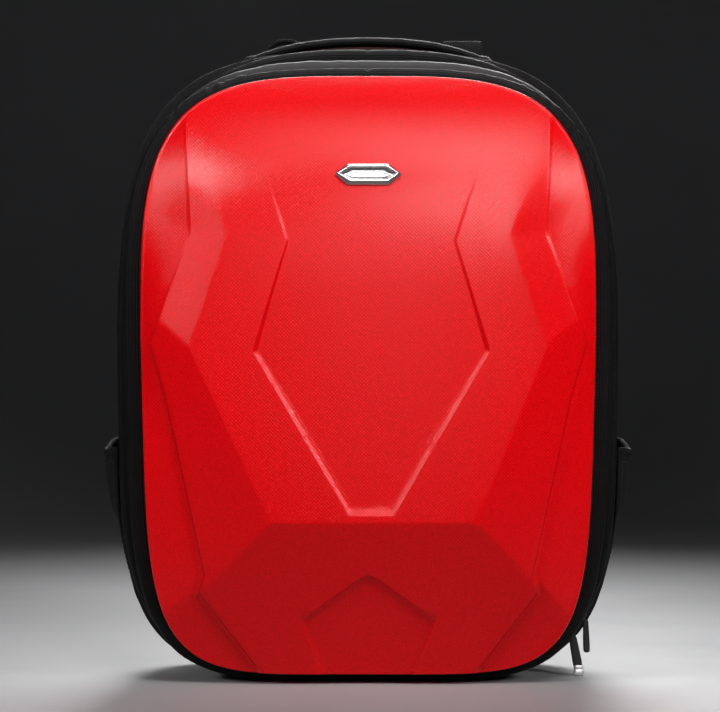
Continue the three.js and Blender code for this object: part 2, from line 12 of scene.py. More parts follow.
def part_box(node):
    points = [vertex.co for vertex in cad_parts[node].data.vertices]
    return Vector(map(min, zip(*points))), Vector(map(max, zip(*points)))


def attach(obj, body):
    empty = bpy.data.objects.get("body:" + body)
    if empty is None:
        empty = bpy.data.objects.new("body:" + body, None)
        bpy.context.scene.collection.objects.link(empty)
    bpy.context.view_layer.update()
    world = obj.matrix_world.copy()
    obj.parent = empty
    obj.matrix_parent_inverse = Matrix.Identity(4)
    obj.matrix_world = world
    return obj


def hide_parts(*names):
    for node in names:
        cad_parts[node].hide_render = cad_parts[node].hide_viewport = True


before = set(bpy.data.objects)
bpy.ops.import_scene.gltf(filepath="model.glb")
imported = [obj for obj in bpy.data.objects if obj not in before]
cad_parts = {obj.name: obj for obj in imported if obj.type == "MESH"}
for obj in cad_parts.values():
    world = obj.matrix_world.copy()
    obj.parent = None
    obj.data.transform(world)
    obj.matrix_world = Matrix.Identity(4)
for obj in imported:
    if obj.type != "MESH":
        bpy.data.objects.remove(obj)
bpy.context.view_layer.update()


# Hard shell. The real one is a red plastic sheet with a fine woven emboss, formed hot into broad facets,
# with a sunk V panel, an outer step and a sunk five-sided panel at the foot. Its rim is sewn behind the
# edging roll.
MM = 0.001
RIM_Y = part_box("shell")[1].y  # depths are millimetres behind this plane, the shell's rim
Outline = namedtuple("Outline", "half wide top foot top_power foot_power taper")
SHELL = Outline(half=152, wide=232, top=405.2, foot=5.8, top_power=3.7, foot_power=5.4, taper=0.035)
SHELL_EDGE = 1.8
SHELL_WALL = 2.6
SHELL_FACE = 3.6  # how thick the face is
SHELL_DRAFT = 0.075  # how far the side wall leans in for each millimetre of its height
HEART_Z = 225  # the face's rings shrink towards this height
TRUNK = Sizes(deep=65, lean=0.02, crest=111, bow=0.00035, bend=47, bend_from=250, bend_over=156)
SHOULDER_FOLD = ((91, 297), (121, 372), 0.19)  # inner end, outer end, slope beyond the fold
HIP_FOLD = ((116.5, 225), (91, 297), 0.17)
LEG_FOLD = ((67, 110.4), (116.5, 225), 0.37)
CREST_FOLD = ((0, 110.4), (67, 110.4), 0.48)
FOLD_BLUR = Sizes(flanks=0.5, hip=0.3, shoulder=5, shoulder_from=300, shoulder_over=75, leg=0.2)
FLANK_ROUND = (1.15, -0.025)  # the flank facets are a little hollow: steep at the fold, then flatter
CREST_SHIFT = Sizes(x=3.4, top=225, over=114)  # the crest stands off the middle, the hips above it do not
STEP_LINE = [
    (119.3, 371), (115.4, 316), (114.3, 297), (138, 237), (141.2, 226), (131, 190), (106.2, 74.2),
    (110.8, 64.5), (66, 2),
]
STEP_ROWS = [(205, 3.4, 1.8, 0.9), (262, 0.8, 3.2, 0)]  # height, then the step's rise, width and groove there
STEP_BLUR = 0.3
BAND_POWER = 1.2  # how the band outside the step falls towards the edge
WALL_DEPTHS = [(-75, 34), (-53, 25.5), (-30, 34), (0, 38), (25, 38.5), (40, 33), (51, 25)]  # degrees, depth
WALL_BLUR = 49
V_EDGE = [(0, 115.4), (14.7, 115.4), (76.9, 221.5), (55, 293), (76, 356)]
V_PANEL = Sizes(deep=2.6, top=356, fades_over=205, slope=0.66, bevel=1.8, x=2)
FOOT_EDGE = [(0, 75.8), (4, 74.7), (9, 71.6), (44.5, 45), (27, 0)]
FOOT_PANEL = Sizes(deep=3, bevel=1.4)


def outline(form, turn, grow=0.0):
    """A piece's outline seen from the front, x and z at each angle, moved outwards by grow."""

    def bare(t):
        c, s = np.cos(t), np.sin(t)
        upper = s >= 0
        reach = np.where(upper, form.top - form.wide, form.wide - form.foot)
        power = np.where(upper, form.top_power, form.foot_power)
        r = (np.abs(c / form.half) ** power + np.abs(s / reach) ** power) ** (-1 / power)
        fall = np.where(upper, 0, -form.taper * r * s / reach)
        return np.stack([r * c * (1 - fall), form.wide + r * s])

    along = bare(turn + 0.01) - bare(turn - 0.01)
    along = along / np.linalg.norm(along, axis=0)
    x, z = bare(turn)
    return x + along[1] * grow, np.maximum(z - along[0] * grow, 0)


def even_turns(form, count):
    """Angles that divide an outline into equal lengths."""
    fine = np.linspace(0, 2 * math.pi, 6001)
    x, z = outline(form, fine)
    run = np.concatenate([[0], np.cumsum(np.hypot(np.diff(x), np.diff(z)))])
    return np.interp(np.linspace(0, run[-1], count, endpoint=False), run, fine)


def smooth(share):
    share = np.clip(share, 0, 1)
    return share * share * (3 - 2 * share)


def soft_max(a, b, blur):
    return (a + b + np.sqrt((a - b) ** 2 + blur**2)) / 2


def beyond(fold, x, z):
    """How far the face falls back beyond a fold."""
    (x0, z0), (x1, z1), slope = fold
    return slope * ((x - x0) * (z1 - z0) - (z - z0) * (x1 - x0)) / math.hypot(x1 - x0, z1 - z0)


def from_line(points, x, z):
    """Distance from a broken line."""
    nearest = np.full(np.shape(x), 1e9)
    for (x0, z0), (x1, z1) in zip(points, points[1:]):
        dx, dz = x1 - x0, z1 - z0
        share = np.clip(((x - x0) * dx + (z - z0) * dz) / (dx * dx + dz * dz), 0, 1)
        nearest = np.minimum(nearest, np.hypot(x - x0 - share * dx, z - z0 - share * dz))
    return nearest


def trunk(x, z):
    """Depth of the broad middle of the face in front of the rim, which bends back towards the top."""
    bend = np.clip((z - TRUNK.bend_from) / TRUNK.bend_over, 0, None)
    straight = TRUNK.deep - TRUNK.lean * (z - TRUNK.crest)
    return straight - TRUNK.bend * bend**3 - TRUNK.bow * x**2


def facets(x, z):
    """Depth of the folded face in front of the rim, before its step and panels."""
    flank = -soft_max(-beyond(SHOULDER_FOLD, x, z), -beyond(HIP_FOLD, x, z), FOLD_BLUR.flanks)
    flank = FLANK_ROUND[0] * flank + FLANK_ROUND[1] * np.maximum(flank, 0) ** 2
    high = smooth((z - FOLD_BLUR.shoulder_from) / FOLD_BLUR.shoulder_over)
    fall = soft_max(0, flank, FOLD_BLUR.hip + FOLD_BLUR.shoulder * high)
    fall = soft_max(fall, beyond(LEG_FOLD, x, z), FOLD_BLUR.leg)
    return trunk(x, z) - soft_max(fall, beyond(CREST_FOLD, x, z), FOLD_BLUR.leg)


def round_heart(x, z):
    return np.arctan2(z - HEART_Z, x), np.hypot(x, z - HEART_Z)


line = np.concatenate([np.linspace(a, b, 60) for a, b in zip(STEP_LINE[::-1], STEP_LINE[-2::-1])])
line_turn, line_r = round_heart(line[:, 0], line[:, 1])
rim_turn, rim_r = round_heart(*outline(SHELL, np.linspace(-1.6, 1.6, 3001), -SHELL_EDGE - SHELL_DRAFT * 30))
wall_turn = np.linspace(-90, 90, 361)
wall_depth = np.interp(wall_turn, *np.transpose(WALL_DEPTHS))
wall_blur = np.hanning(WALL_BLUR)
wall_depth = np.convolve(np.pad(wall_depth, WALL_BLUR // 2, "edge"), wall_blur / wall_blur.sum(), "valid")


def by_height(rows, z):
    """Values of a table's columns at a height."""
    heights, *columns = np.transpose(rows)
    return [np.interp(z, heights, column) for column in columns]


def crest_shift(x, z):
    return CREST_SHIFT.x * np.sign(x) * np.clip((CREST_SHIFT.top - z) / CREST_SHIFT.over, 0, 1)


def face_depth(x, z):
    """Depth of the shell's face in front of the rim."""
    shift = crest_shift(x, z)
    v_x = np.abs(x - V_PANEL.x)
    x = np.abs(x)
    turn, r = round_heart(x, z)
    step_r = np.interp(turn, line_turn, line_r)
    edge_r = np.interp(turn, rim_turn, rim_r)
    line_z = HEART_Z + step_r * np.sin(turn)
    on_line = facets(step_r * np.cos(turn) - shift, line_z) - by_height(STEP_ROWS, line_z)[0]
    share = np.clip((r - step_r) / np.maximum(edge_r - step_r, 0.5), 0, 1)
    band = on_line + (np.interp(np.degrees(turn), wall_turn, wall_depth) - on_line) * share**BAND_POWER
    rise, wide, groove = by_height(STEP_ROWS, z)
    band_foot = trunk(x - shift, z) - beyond(CREST_FOLD, x - shift, z) - rise
    band = -soft_max(-band, -band_foot, STEP_BLUR)
    from_step = from_line(STEP_LINE, x, z)
    band = band + rise * (1 - smooth(from_step / wide)) - groove * np.exp(-(((from_step - wide) / wide) ** 2))
    outside = (r > step_r) & (turn < line_turn[-1]) & (turn > line_turn[0])
    depth = np.where(outside, band, facets(x - shift, z))
    heights, halves = np.transpose(V_EDGE[1:])[::-1]
    in_v = (z > heights[0]) & (v_x < np.interp(z, heights, halves))
    v_deep = V_PANEL.deep * smooth((V_PANEL.top - z) / V_PANEL.fades_over)
    v_bevel = np.maximum(v_deep / V_PANEL.slope, V_PANEL.bevel)
    depth = depth - in_v * v_deep * np.clip(from_line(V_EDGE, v_x, z) / v_bevel, 0, 1)
    roof_x, roof_z = np.transpose(FOOT_EDGE[:-1])
    foot, foot_z = FOOT_EDGE[-1]
    side = np.interp(z, [foot_z, roof_z[-1]], [foot, roof_x[-1]])
    in_foot = (z < np.interp(x, roof_x, roof_z)) & (x < side)
    return depth - in_foot * FOOT_PANEL.deep * smooth(from_line(FOOT_EDGE, x, z) / FOOT_PANEL.bevel)


FACE_LINES = [
    [SHOULDER_FOLD[1], SHOULDER_FOLD[0], HIP_FOLD[0], LEG_FOLD[0], CREST_FOLD[0]],
    [SHOULDER_FOLD[0], STEP_LINE[2]],
    [LEG_FOLD[0], STEP_LINE[6]],
]
CLOSER = Sizes(times=6, within=2.4)  # rings crowd together near the face's lines
STEP_REACH = Sizes(ends=0.95, most=0.985, foot=0.4)  # limits on the step's place, as shares of the way out
FACE_RINGS = Sizes(inside=104, step=9, band=16, edge=6, hollow=12)


def near_lines(x, z):
    """Distance from the nearest fold or panel edge of the face."""
    fold_x = np.abs(x) - crest_shift(x, z)
    near = np.minimum(from_line(V_EDGE, np.abs(x - V_PANEL.x), z), from_line(FOOT_EDGE, np.abs(x), z))
    for points in FACE_LINES:
        near = np.minimum(near, from_line(points, fold_x, z))
    return near


def face_shares(x, z, step_share, count):
    """Shares of the way from the heart to the edge at which each ray of the face has its points."""
    fine = np.linspace(0, 1, 1500)[:, None] * step_share
    near = near_lines(x * fine, HEART_Z + (z - HEART_Z) * fine)
    crowd = np.cumsum(1 + CLOSER.times * np.exp(-((near / CLOSER.within) ** 2)), 0)
    crowd = (crowd - crowd[0]) / (crowd[-1] - crowd[0])
    even = np.linspace(0, 1, count)
    shares = np.stack([np.interp(even, crowd[:, k], fine[:, k]) for k in range(len(x))], -1)
    for _ in range(6):
        shares = (np.roll(shares, 1, 1) + 2 * shares + np.roll(shares, -1, 1)) / 4
    return shares * step_share / shares[-1]


def shell_rings(turns):
    """The face from its middle to its edge, round the edge, down the wall, then the hollow side back."""
    lean = SHELL_DRAFT * face_depth(*outline(SHELL, turns, -SHELL_EDGE))
    x, z = outline(SHELL, turns, -SHELL_EDGE - lean)
    edge = face_depth(x, z)
    heart_turn, edge_r = round_heart(np.abs(x), z)
    ends = [-math.pi / 2, *line_turn, math.pi / 2]
    low, high = STEP_REACH.ends * (HEART_Z - z.min()), STEP_REACH.ends * (z.max() - HEART_Z)
    step_r = np.minimum(np.interp(heart_turn, ends, [low, *line_r, high]), STEP_REACH.most * edge_r)
    foot_r = step_r + np.minimum(by_height(STEP_ROWS, z)[1], STEP_REACH.foot * (edge_r - step_r))
    reaches = list(face_shares(x, z, step_r / edge_r, FACE_RINGS.inside)[1:])
    for start, end, count in ((step_r, foot_r, FACE_RINGS.step), (foot_r, edge_r, FACE_RINGS.band)):
        reaches += [(start + (end - start) * share) / edge_r for share in np.linspace(0, 1, count)[1:]]
    rows = []
    for reach in reaches:
        rx, rz = x * reach, HEART_Z + (z - HEART_Z) * reach
        rows.append((rx, -face_depth(rx, rz), rz))
    for angle in np.linspace(0, math.pi / 2, FACE_RINGS.edge)[1:]:
        rx, rz = outline(SHELL, turns, -lean - SHELL_EDGE * (1 - math.sin(angle)))
        rows.append((rx, -edge + SHELL_EDGE * (1 - math.cos(angle)), rz))
    for share in (0.75, 0.5, 0.25, 0):
        rx, rz = outline(SHELL, turns, -lean * share)
        rows.append((rx, (SHELL_EDGE - edge) * share, rz))
    for share in (0, 0.5, 1):
        ix, iz = outline(SHELL, turns, -SHELL_WALL - lean * share)
        rows.append((ix, (SHELL_EDGE + SHELL_WALL - edge) * share, iz))
    for share in np.linspace(1, 0, FACE_RINGS.hollow)[1:-1]:
        rx, rz = ix * share, HEART_Z + (iz - HEART_Z) * share
        rows.append((rx, SHELL_FACE - face_depth(rx, rz), rz))
    return np.array(rows).transpose(0, 2, 1)


def in_metres(points):
    """Points in the frame's metres, from millimetres with depths behind the rim."""
    return np.asarray(points, float) * MM + (0, RIM_Y, 0)


def new_mesh(points, faces):
    mesh = bpy.data.meshes.new("piece")
    mesh.from_pydata(points, [], faces)
    return mesh


def skin(rings, loop=False, middles=(None, None)):
    """A closed mesh over closed rings of points, with a UV map in metres along and round the rings."""
    rings = in_metres(rings)
    count, size = rings.shape[:2]
    i, j = np.meshgrid(np.arange(count if loop else count - 1), np.arange(size), indexing="ij")
    next_i, next_j = (i + 1) % count, (j + 1) % size
    quads = np.stack([i * size + j, next_i * size + j, next_i * size + next_j, i * size + next_j], -1)
    run = np.linalg.norm(np.diff(np.concatenate([rings, rings[:1]]), axis=0), axis=2).mean(1)
    run = np.concatenate([[0], np.cumsum(run)])
    around = np.linalg.norm(np.diff(np.concatenate([rings, rings[:, :1]], 1), axis=1), axis=2).mean(0)
    around = np.concatenate([[0], np.cumsum(around)])
    us = np.stack([run[i], run[i + 1], run[i + 1], run[i]], -1)
    vs = np.stack([around[j], around[j], around[j + 1], around[j + 1]], -1)
    points = rings.reshape(-1, 3).tolist()
    faces = quads.reshape(-1, 4).tolist()
    uvs = np.stack([us, vs], -1).reshape(-1, 2).tolist()
    for first, middle in () if loop else zip((0, (count - 1) * size), middles):
        if middle is not None:
            points.append(in_metres(middle).tolist())
            faces += [[first + k, first + (k + 1) % size, len(points) - 1] for k in range(size)]
            uvs += [[around[k], 0] for k in range(size) for _ in range(3)]
        else:
            last = first + size - 1
            lid = range(size // 2 - 1)
            faces += [[first + k, first + k + 1, last - 1 - k, last - k] for k in lid]
            uvs += [[around[k], corner // 2 * 0.002] for k in lid for corner in range(4)]
    mesh = new_mesh(points, faces)
    layer = mesh.uv_layers.new(name="run")
    layer.data.foreach_set("uv", np.asarray(uvs, np.float32).ravel())
    shaped = bmesh.new()
    shaped.from_mesh(mesh)
    bmesh.ops.recalc_face_normals(shaped, faces=shaped.faces)
    shaped.to_mesh(mesh)
    shaped.free()
    return mesh


def put(name, mesh, finish, slot, *stands_for):
    """A piece of the bag, with its finish and the CAD nodes that it stands for. Its slot is not used."""
    mesh.name = name
    mesh.shade_smooth()
    mesh.materials.append(finish)
    piece = bpy.data.objects.new(name, mesh)
    bpy.context.scene.collection.objects.link(piece)
    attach(piece, "root")
    if stands_for:
        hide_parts(*stands_for)
    return piece


def node_group(name, inputs, output):
    group = bpy.data.node_groups.new(name, "ShaderNodeTree")
    for label, value in inputs.items():
        group.interface.new_socket(label, in_out="INPUT", socket_type="NodeSocketFloat").default_value = value
    group.interface.new_socket(output, in_out="OUTPUT", socket_type="NodeSocketFloat")
    return group, group.nodes.new("NodeGroupInput").outputs, group.nodes.new("NodeGroupOutput").inputs


def node(tree, kind, values=(), **settings):
    """A new node with its settings, and its inputs linked or set by name or in order."""
    made = tree.nodes.new(kind)
    for label, value in settings.items():
        setattr(made, label, value)
    for key, value in (values.items() if isinstance(values, dict) else enumerate(values)):
        if isinstance(value, bpy.types.NodeSocket):
            tree.links.new(value, made.inputs[key])
        else:
            made.inputs[key].default_value = value
    return made


def sums(tree, operation, *values):
    return node(tree, "ShaderNodeMath", values, operation=operation).outputs[0]


def vectors(tree, operation, *values):
    return node(tree, "ShaderNodeVectorMath", values, operation=operation).outputs[0]


def woven_grain_group():
    """Over-and-under bumps of a plain weave at a given pitch, laid on from the three axes."""
    group, given, out = node_group("woven grain", {"Pitch": 0.0015}, "Height")
    place = node(group, "ShaderNodeTexCoord").outputs["Object"]
    waves = sums(group, "DIVIDE", 2 * math.pi, given["Pitch"])
    turned = node(group, "ShaderNodeVectorMath", {0: place, "Scale": waves}, operation="SCALE").outputs[0]
    sine = node(group, "ShaderNodeSeparateXYZ", [vectors(group, "SINE", turned)]).outputs
    facing = vectors(group, "ABSOLUTE", node(group, "ShaderNodeNewGeometry").outputs["Normal"])
    squared = vectors(group, "MULTIPLY", facing, facing)
    weight = node(group, "ShaderNodeSeparateXYZ", [vectors(group, "MULTIPLY", squared, squared)]).outputs
    total = sums(group, "ADD", sums(group, "ADD", weight[0], weight[1]), weight[2])
    height = 0.0
    for axis in range(3):
        bumps = sums(group, "MULTIPLY", sine[(axis + 1) % 3], sine[(axis + 2) % 3])
        height = sums(group, "ADD", height, sums(group, "MULTIPLY", bumps, weight[axis]))
    height = sums(group, "MULTIPLY_ADD", sums(group, "DIVIDE", height, total), 0.5, 0.5)
    group.links.new(height, out["Height"])
    return group


def uneven_tone_group():
    """Slow cloudy variation, between Low and High, for colour, gloss and grain."""
    group, given, out = node_group("uneven tone", {"Scale": 30, "Low": 0, "High": 1}, "Tone")
    place = node(group, "ShaderNodeTexCoord").outputs["Object"]
    noise = node(group, "ShaderNodeTexNoise", {"Vector": place, "Scale": given["Scale"], "Detail": 4})
    spread = {"Value": noise.outputs[0], "From Min": 0.3, "From Max": 0.7}
    spread |= {"To Min": given["Low"], "To Max": given["High"]}
    group.links.new(node(group, "ShaderNodeMapRange", spread).outputs[0], out["Tone"])
    return group


woven_grain = woven_grain_group()
uneven_tone = uneven_tone_group()


def placed(tree, group, *values):
    return node(tree, "ShaderNodeGroup", values, node_tree=group).outputs[0]


def finished(name, tones, cloud, gloss, grain=(), deep=0.0, dyed=True, **sockets):
    """A material whose colour and gloss drift, each at a scale and between two values, with a raised grain.

    The grain is a list of node groups with their values, and it shows in the colour too if it is dyed.
    """
    made = bpy.data.materials.new(name)
    made.use_nodes = True
    tree = made.node_tree
    inputs = tree.nodes["Principled BSDF"].inputs
    for label, value in sockets.items():
        inputs[label.replace("_", " ")].default_value = value
    share = placed(tree, uneven_tone, *cloud)
    height = 1.0
    for texture in grain:
        height = sums(tree, "MULTIPLY", height, placed(tree, *texture))
    if grain:
        bump = node(tree, "ShaderNodeBump", {"Height": height, "Distance": deep, "Strength": 1.0})
        tree.links.new(bump.outputs[0], inputs["Normal"])
        share = sums(tree, "MULTIPLY", height, share) if dyed else share
    dark, light = ((*tone, 1) for tone in tones)
    mix = node(tree, "ShaderNodeMix", {0: share, 6: dark, 7: light}, data_type="RGBA")
    tree.links.new(mix.outputs[2], inputs["Base Color"])
    tree.links.new(placed(tree, uneven_tone, *gloss), inputs["Roughness"])
    return made


embossed_red = finished(
    "embossed_red", ((0.6, 0.0005, 0.0018), (0.98, 0.0034, 0.008)), cloud=(14, 0.9, 1),
    gloss=(7, 0.225, 0.235), grain=[(woven_grain, 0.0023), (uneven_tone, 620, 0.3, 1)], deep=0.00012,
    Specular_IOR_Level=0.21,
)
heart = face_depth(np.zeros(1), np.full(1, HEART_Z))[0]
face_middles = ((0, -heart, HEART_Z), (0, SHELL_FACE - heart, HEART_Z))
shell_mesh = skin(shell_rings(even_turns(SHELL, 600)), middles=face_middles)
put("hard_shell", shell_mesh, embossed_red, "red_shell", "shell")


# Badge. A small plain bright plate on the brow, with a raised border round a dished field. It is die-cast,
# plated and held on by pins through the shell.
BADGE = Sizes(half=22, shoulder=13.6, high=15, z=336, corner=0.12, proud=0.2, slope_over=14)
BADGE_PROFILE = [  # inset and height
    (0, 0), (0, 0.9), (0.3, 1.4), (1.7, 2.7), (2.1, 2.95), (2.6, 3), (3.1, 2.8), (3.4, 2.3), (3.8, 1.9),
    (4.4, 1.5), (5, 1.2), (5.7, 0.98), (6.4, 0.85), (7.1, 0.8),
]


def unit(vector):
    return vector / np.linalg.norm(vector, axis=-1, keepdims=True)


def badge_rings():
    half, shoulder, high = BADGE.half, BADGE.shoulder, BADGE.high / 2
    corners = np.array([(half, 0), (shoulder, high), (-shoulder, high)])
    corners = np.concatenate([corners, -corners])
    points = []
    for before, here, after in zip(np.roll(corners, 1, 0), corners, np.roll(corners, -1, 0)):
        cut = BADGE.corner * min(np.linalg.norm(before - here), np.linalg.norm(after - here))
        a, b = here + cut * unit(before - here), here + cut * unit(after - here)
        points += [(1 - t) ** 2 * a + 2 * t * (1 - t) * here + t * t * b for t in np.linspace(0, 1, 6)]
    points = np.array(points)
    heights = BADGE.z + BADGE.slope_over * np.array([-0.5, 0, 0.5])
    low, seat, top = face_depth(np.zeros(3), heights)
    lean = math.atan((low - top) / BADGE.slope_over)
    rings = []
    for inset, height in BADGE_PROFILE:
        x, up = (points * (1 - inset / np.array([half, high]))).T
        y = -seat - BADGE.proud + up * math.sin(lean) - height * math.cos(lean)
        rings.append(np.stack([x, y, BADGE.z + up * math.cos(lean) + height * math.sin(lean)], -1))
    return np.array(rings)


def plated_metal(name, dull, tone):
    plate = (tone, tone, tone)
    return finished(name, (plate, plate), (40, 0, 1), (40, dull - 0.03, dull + 0.03), Metallic=1.0)


put("badge_plate", skin(badge_rings()), plated_metal("bright_plate", 0.24, 0.62), "chrome", "badge")


# Edging rolls. Each is a cord of foam wrapped in woven edging cloth and sewn round the bag: one behind the
# shell, one behind the zip and a thinner one round the back panel. The front one is butt-joined at the top.
ROLLS = {  # outline, depth, half width, half depth, unevenness and facets
    "front_roll": (Outline(156.5, 232, 404.3, 7.6, 3.6, 5.2, 0.035), 6.4, 7.2, 6, 0.05, 22),
    "mid_roll": (Outline(167, 222, 423.6, 6.2, 2.9, 4.6, 0.02), 49.3, 5.5, 5.5, 0.04, 18),
    "back_roll": (Outline(164, 215, 421.5, 5, 3.5, 4.2, 0), 122, 3.6, 3.6, 0.03, 14),
}
ROLL_SQUARE = 2.4  # a round section has 2, a square one many
ROLL_CORNER = Sizes(at=52, within=13, puckers=1.6)  # degrees up from level
ROLL_FOLDS = Sizes(slow=0.5, deep=0.4)  # how far the slow ripple and the depth follow
ROLL_JOINT = Sizes(sharp=190, dent=0.16)


def squared_ring(half_a, half_b, count, power=4.0):
    """A rounded rectangle as a closed list of two coordinates."""
    spin = (np.arange(count) + 0.5) / count * 2 * math.pi
    c, s = np.cos(spin), np.sin(spin)
    r = (np.abs(c) ** power + np.abs(s) ** power) ** (-1 / power)
    return np.stack([half_a * r * c, half_b * r * s], -1)


def ripple(turns, seed, waves=9, fastest=60):
    """Smooth seeded unevenness round the bag, about -1 to 1."""
    dice = np.random.default_rng(seed)
    total = np.zeros_like(turns)
    for _ in range(waves):
        total += np.sin(dice.integers(3, fastest) * turns + dice.uniform(0, 2 * math.pi))
    return total / math.sqrt(waves)


def roll_rings(form, depth, across, deep, unevenness, count, seed):
    turns = even_turns(form, 900)
    ring = squared_ring(across, deep, count, ROLL_SQUARE)
    climb = np.degrees(np.arctan2(np.sin(turns), np.abs(np.cos(turns))))
    corner = ROLL_CORNER.puckers * np.exp(-(((climb - ROLL_CORNER.at) / ROLL_CORNER.within) ** 2))
    folds = unevenness * (ROLL_FOLDS.slow * ripple(turns, seed) + corner * ripple(turns, seed + 1, 6, 240))
    joint = np.exp(-(((turns - math.pi / 2) * ROLL_JOINT.sharp) ** 2) / 2)
    swell = 1 + folds - ROLL_JOINT.dent * joint
    x, z = outline(form, turns[:, None], ring[:, 0] * swell[:, None])
    return np.stack([x, depth + ring[:, 1] * (1 + ROLL_FOLDS.deep * folds[:, None]), z], -1)


def ribbed_run_group():
    """Slanting ribs of woven tape along a piece's own UV run."""
    group, given, out = node_group("ribbed run", {"Along": 0.002, "Across": 0.001, "Sway": 1.0}, "Height")
    run = node(group, "ShaderNodeSeparateXYZ", [node(group, "ShaderNodeUVMap").outputs[0]]).outputs
    along = sums(group, "MULTIPLY", sums(group, "DIVIDE", run[0], given["Along"]), 2 * math.pi)
    across = sums(group, "MULTIPLY", sums(group, "DIVIDE", run[1], given["Across"]), 2 * math.pi)
    swaying = sums(group, "MULTIPLY", sums(group, "SINE", along), given["Sway"])
    rib = sums(group, "SINE", sums(group, "ADD", across, swaying))
    group.links.new(sums(group, "MULTIPLY_ADD", rib, 0.5, 0.5), out["Height"])
    return group


ribbed_run = ribbed_run_group()


def taped(name, dark, light, along, across, sway, dull, deep):
    """Finish of a woven tape or edging, with ribs along the piece and slow changes of tone."""
    gloss = (120, dull - 0.07, dull + 0.07)
    ribs = [(ribbed_run, along, across, sway)]
    look = {"Sheen_Weight": 0.004, "Specular_IOR_Level": 0.12}
    return finished(name, (dark, light), (45, 0.45, 1), gloss, ribs, deep, **look)


edging_cloth = taped(
    "edging_cloth", (0.0008, 0.0007, 0.0007), (0.009, 0.0077, 0.008), 0.0026, 0.0018, 1.1, 0.55, 0.00035
)
for seed, (name, roll) in enumerate(ROLLS.items()):
    put("edging_" + name, skin(roll_rings(*roll, 3 * seed + 5), loop=True), edging_cloth, "piping", name)


# Front gusset. A band of smooth coated cloth between the front roll and the zip, sewn along both edges, so
# that it swells a little between them and puckers where it rounds the corners.
GUSSET = Outline(half=160, wide=230, top=416, foot=5.5, top_power=3.4, foot_power=4.9, taper=0.03)
GUSSET_BAND = Sizes(front=12.8, back=33, bulge=3, tuck=6, cloth=1.4, pucker=0.06, crease=0.03)


def gusset_rings(turns):
    share = np.linspace(0, 1, 13)
    depth = GUSSET_BAND.front + (GUSSET_BAND.back - GUSSET_BAND.front) * share
    pucker = GUSSET_BAND.pucker * ripple(turns, 21, 10, 70) + GUSSET_BAND.crease * ripple(turns, 22, 6, 200)
    grow = GUSSET_BAND.bulge * np.sin(math.pi * share) ** 0.8 * (1 + pucker[:, None])
    grow = grow - GUSSET_BAND.tuck * (1 - share) ** 4
    grow = np.concatenate([grow, grow[:, ::-1] - GUSSET_BAND.cloth], 1)
    x, z = outline(GUSSET, turns[:, None], grow)
    return np.stack([x, np.broadcast_to(np.concatenate([depth, depth[::-1]]), x.shape), z], -1)


coated_cloth = finished(
    "coated_cloth", ((0.013, 0.011, 0.0118), (0.022, 0.019, 0.02)), cloud=(35, 0.3, 1),
    gloss=(90, 0.48, 0.56), grain=[(woven_grain, 0.0008)], deep=0.00004, dyed=False, Sheen_Weight=0.02,
    Specular_IOR_Level=0.16,
)
gusset_mesh = skin(gusset_rings(even_turns(GUSSET, 800)), loop=True)
put("gusset_band", gusset_mesh, coated_cloth, "satin_cloth", "front_gusset")


# Zip. A black coil zip runs right round the bag between the gusset and the middle roll: woven tape with a row
# of moulded nylon teeth along its middle.
ZIP = Sizes(front=33.4, back=43.4, rise=5, tape=1.6, chain=1.1, teeth_lift=0.2)
ZIP_ROWS = [(0, 0), (0.15, 0), (0.3, 0), (0.38, 1), (0.62, 1), (0.7, 0), (0.85, 0), (1, 0)]  # share, chain
ZIP_MIDDLE = (ZIP.front + ZIP.back) / 2
TEETH = Sizes(count=565, long=1.35, high=1.1, wide=3.4)


def zip_rings(turns):
    rows = [(share, ZIP.chain * chain) for share, chain in ZIP_ROWS]
    rows += [(share, -ZIP.tape) for share in (1, 0.5, 0)]
    share, out = np.transpose(rows)
    x, z = outline(GUSSET, turns[:, None], ZIP.rise * share + out)
    return np.stack([x, np.broadcast_to(ZIP.front + (ZIP.back - ZIP.front) * share, x.shape), z], -1)


def joined_blocks(centres, along, out, sizes, bevel=0.35):
    """Many small rounded blocks as one mesh: each lies along one direction and stands out in another."""
    along = unit(np.asarray(along, float))
    side = unit(np.cross(out, along))
    up = np.cross(along, side)
    long, wide, high = np.array(sizes) / 2
    points = [
        centres + along * shift * long + (side * u * wide + up * v * high) * scale
        for shift, scale in ((-1, 1 - bevel), (bevel - 1, 1), (1 - bevel, 1), (1, 1 - bevel))
        for u, v in ((-1, -1), (1, -1), (1, 1), (-1, 1))
    ]
    block = [[3, 2, 1, 0], [12, 13, 14, 15]]
    for k in (0, 4, 8):
        block += [[k + c, k + (c + 1) % 4, k + 4 + (c + 1) % 4, k + 4 + c] for c in range(4)]
    faces = np.array(block) + 16 * np.arange(len(along))[:, None, None]
    return new_mesh(in_metres(np.stack(points, 1).reshape(-1, 3)).tolist(), faces.reshape(-1, 4).tolist())


def zip_teeth():
    turns = even_turns(GUSSET, TEETH.count)
    middle = ZIP.rise / 2 + ZIP.chain + ZIP.teeth_lift
    x, z = outline(GUSSET, turns, middle)
    dx, dz = np.subtract(outline(GUSSET, turns + 0.002, middle), (x, z))
    level = np.zeros_like(x)
    ways = (x, level + ZIP_MIDDLE, z), (dx, level, dz), (dz, level, -dx)
    centres, along, out = (np.stack(way, -1) for way in ways)
    return joined_blocks(centres, along, out, (TEETH.long, TEETH.wide, TEETH.high))


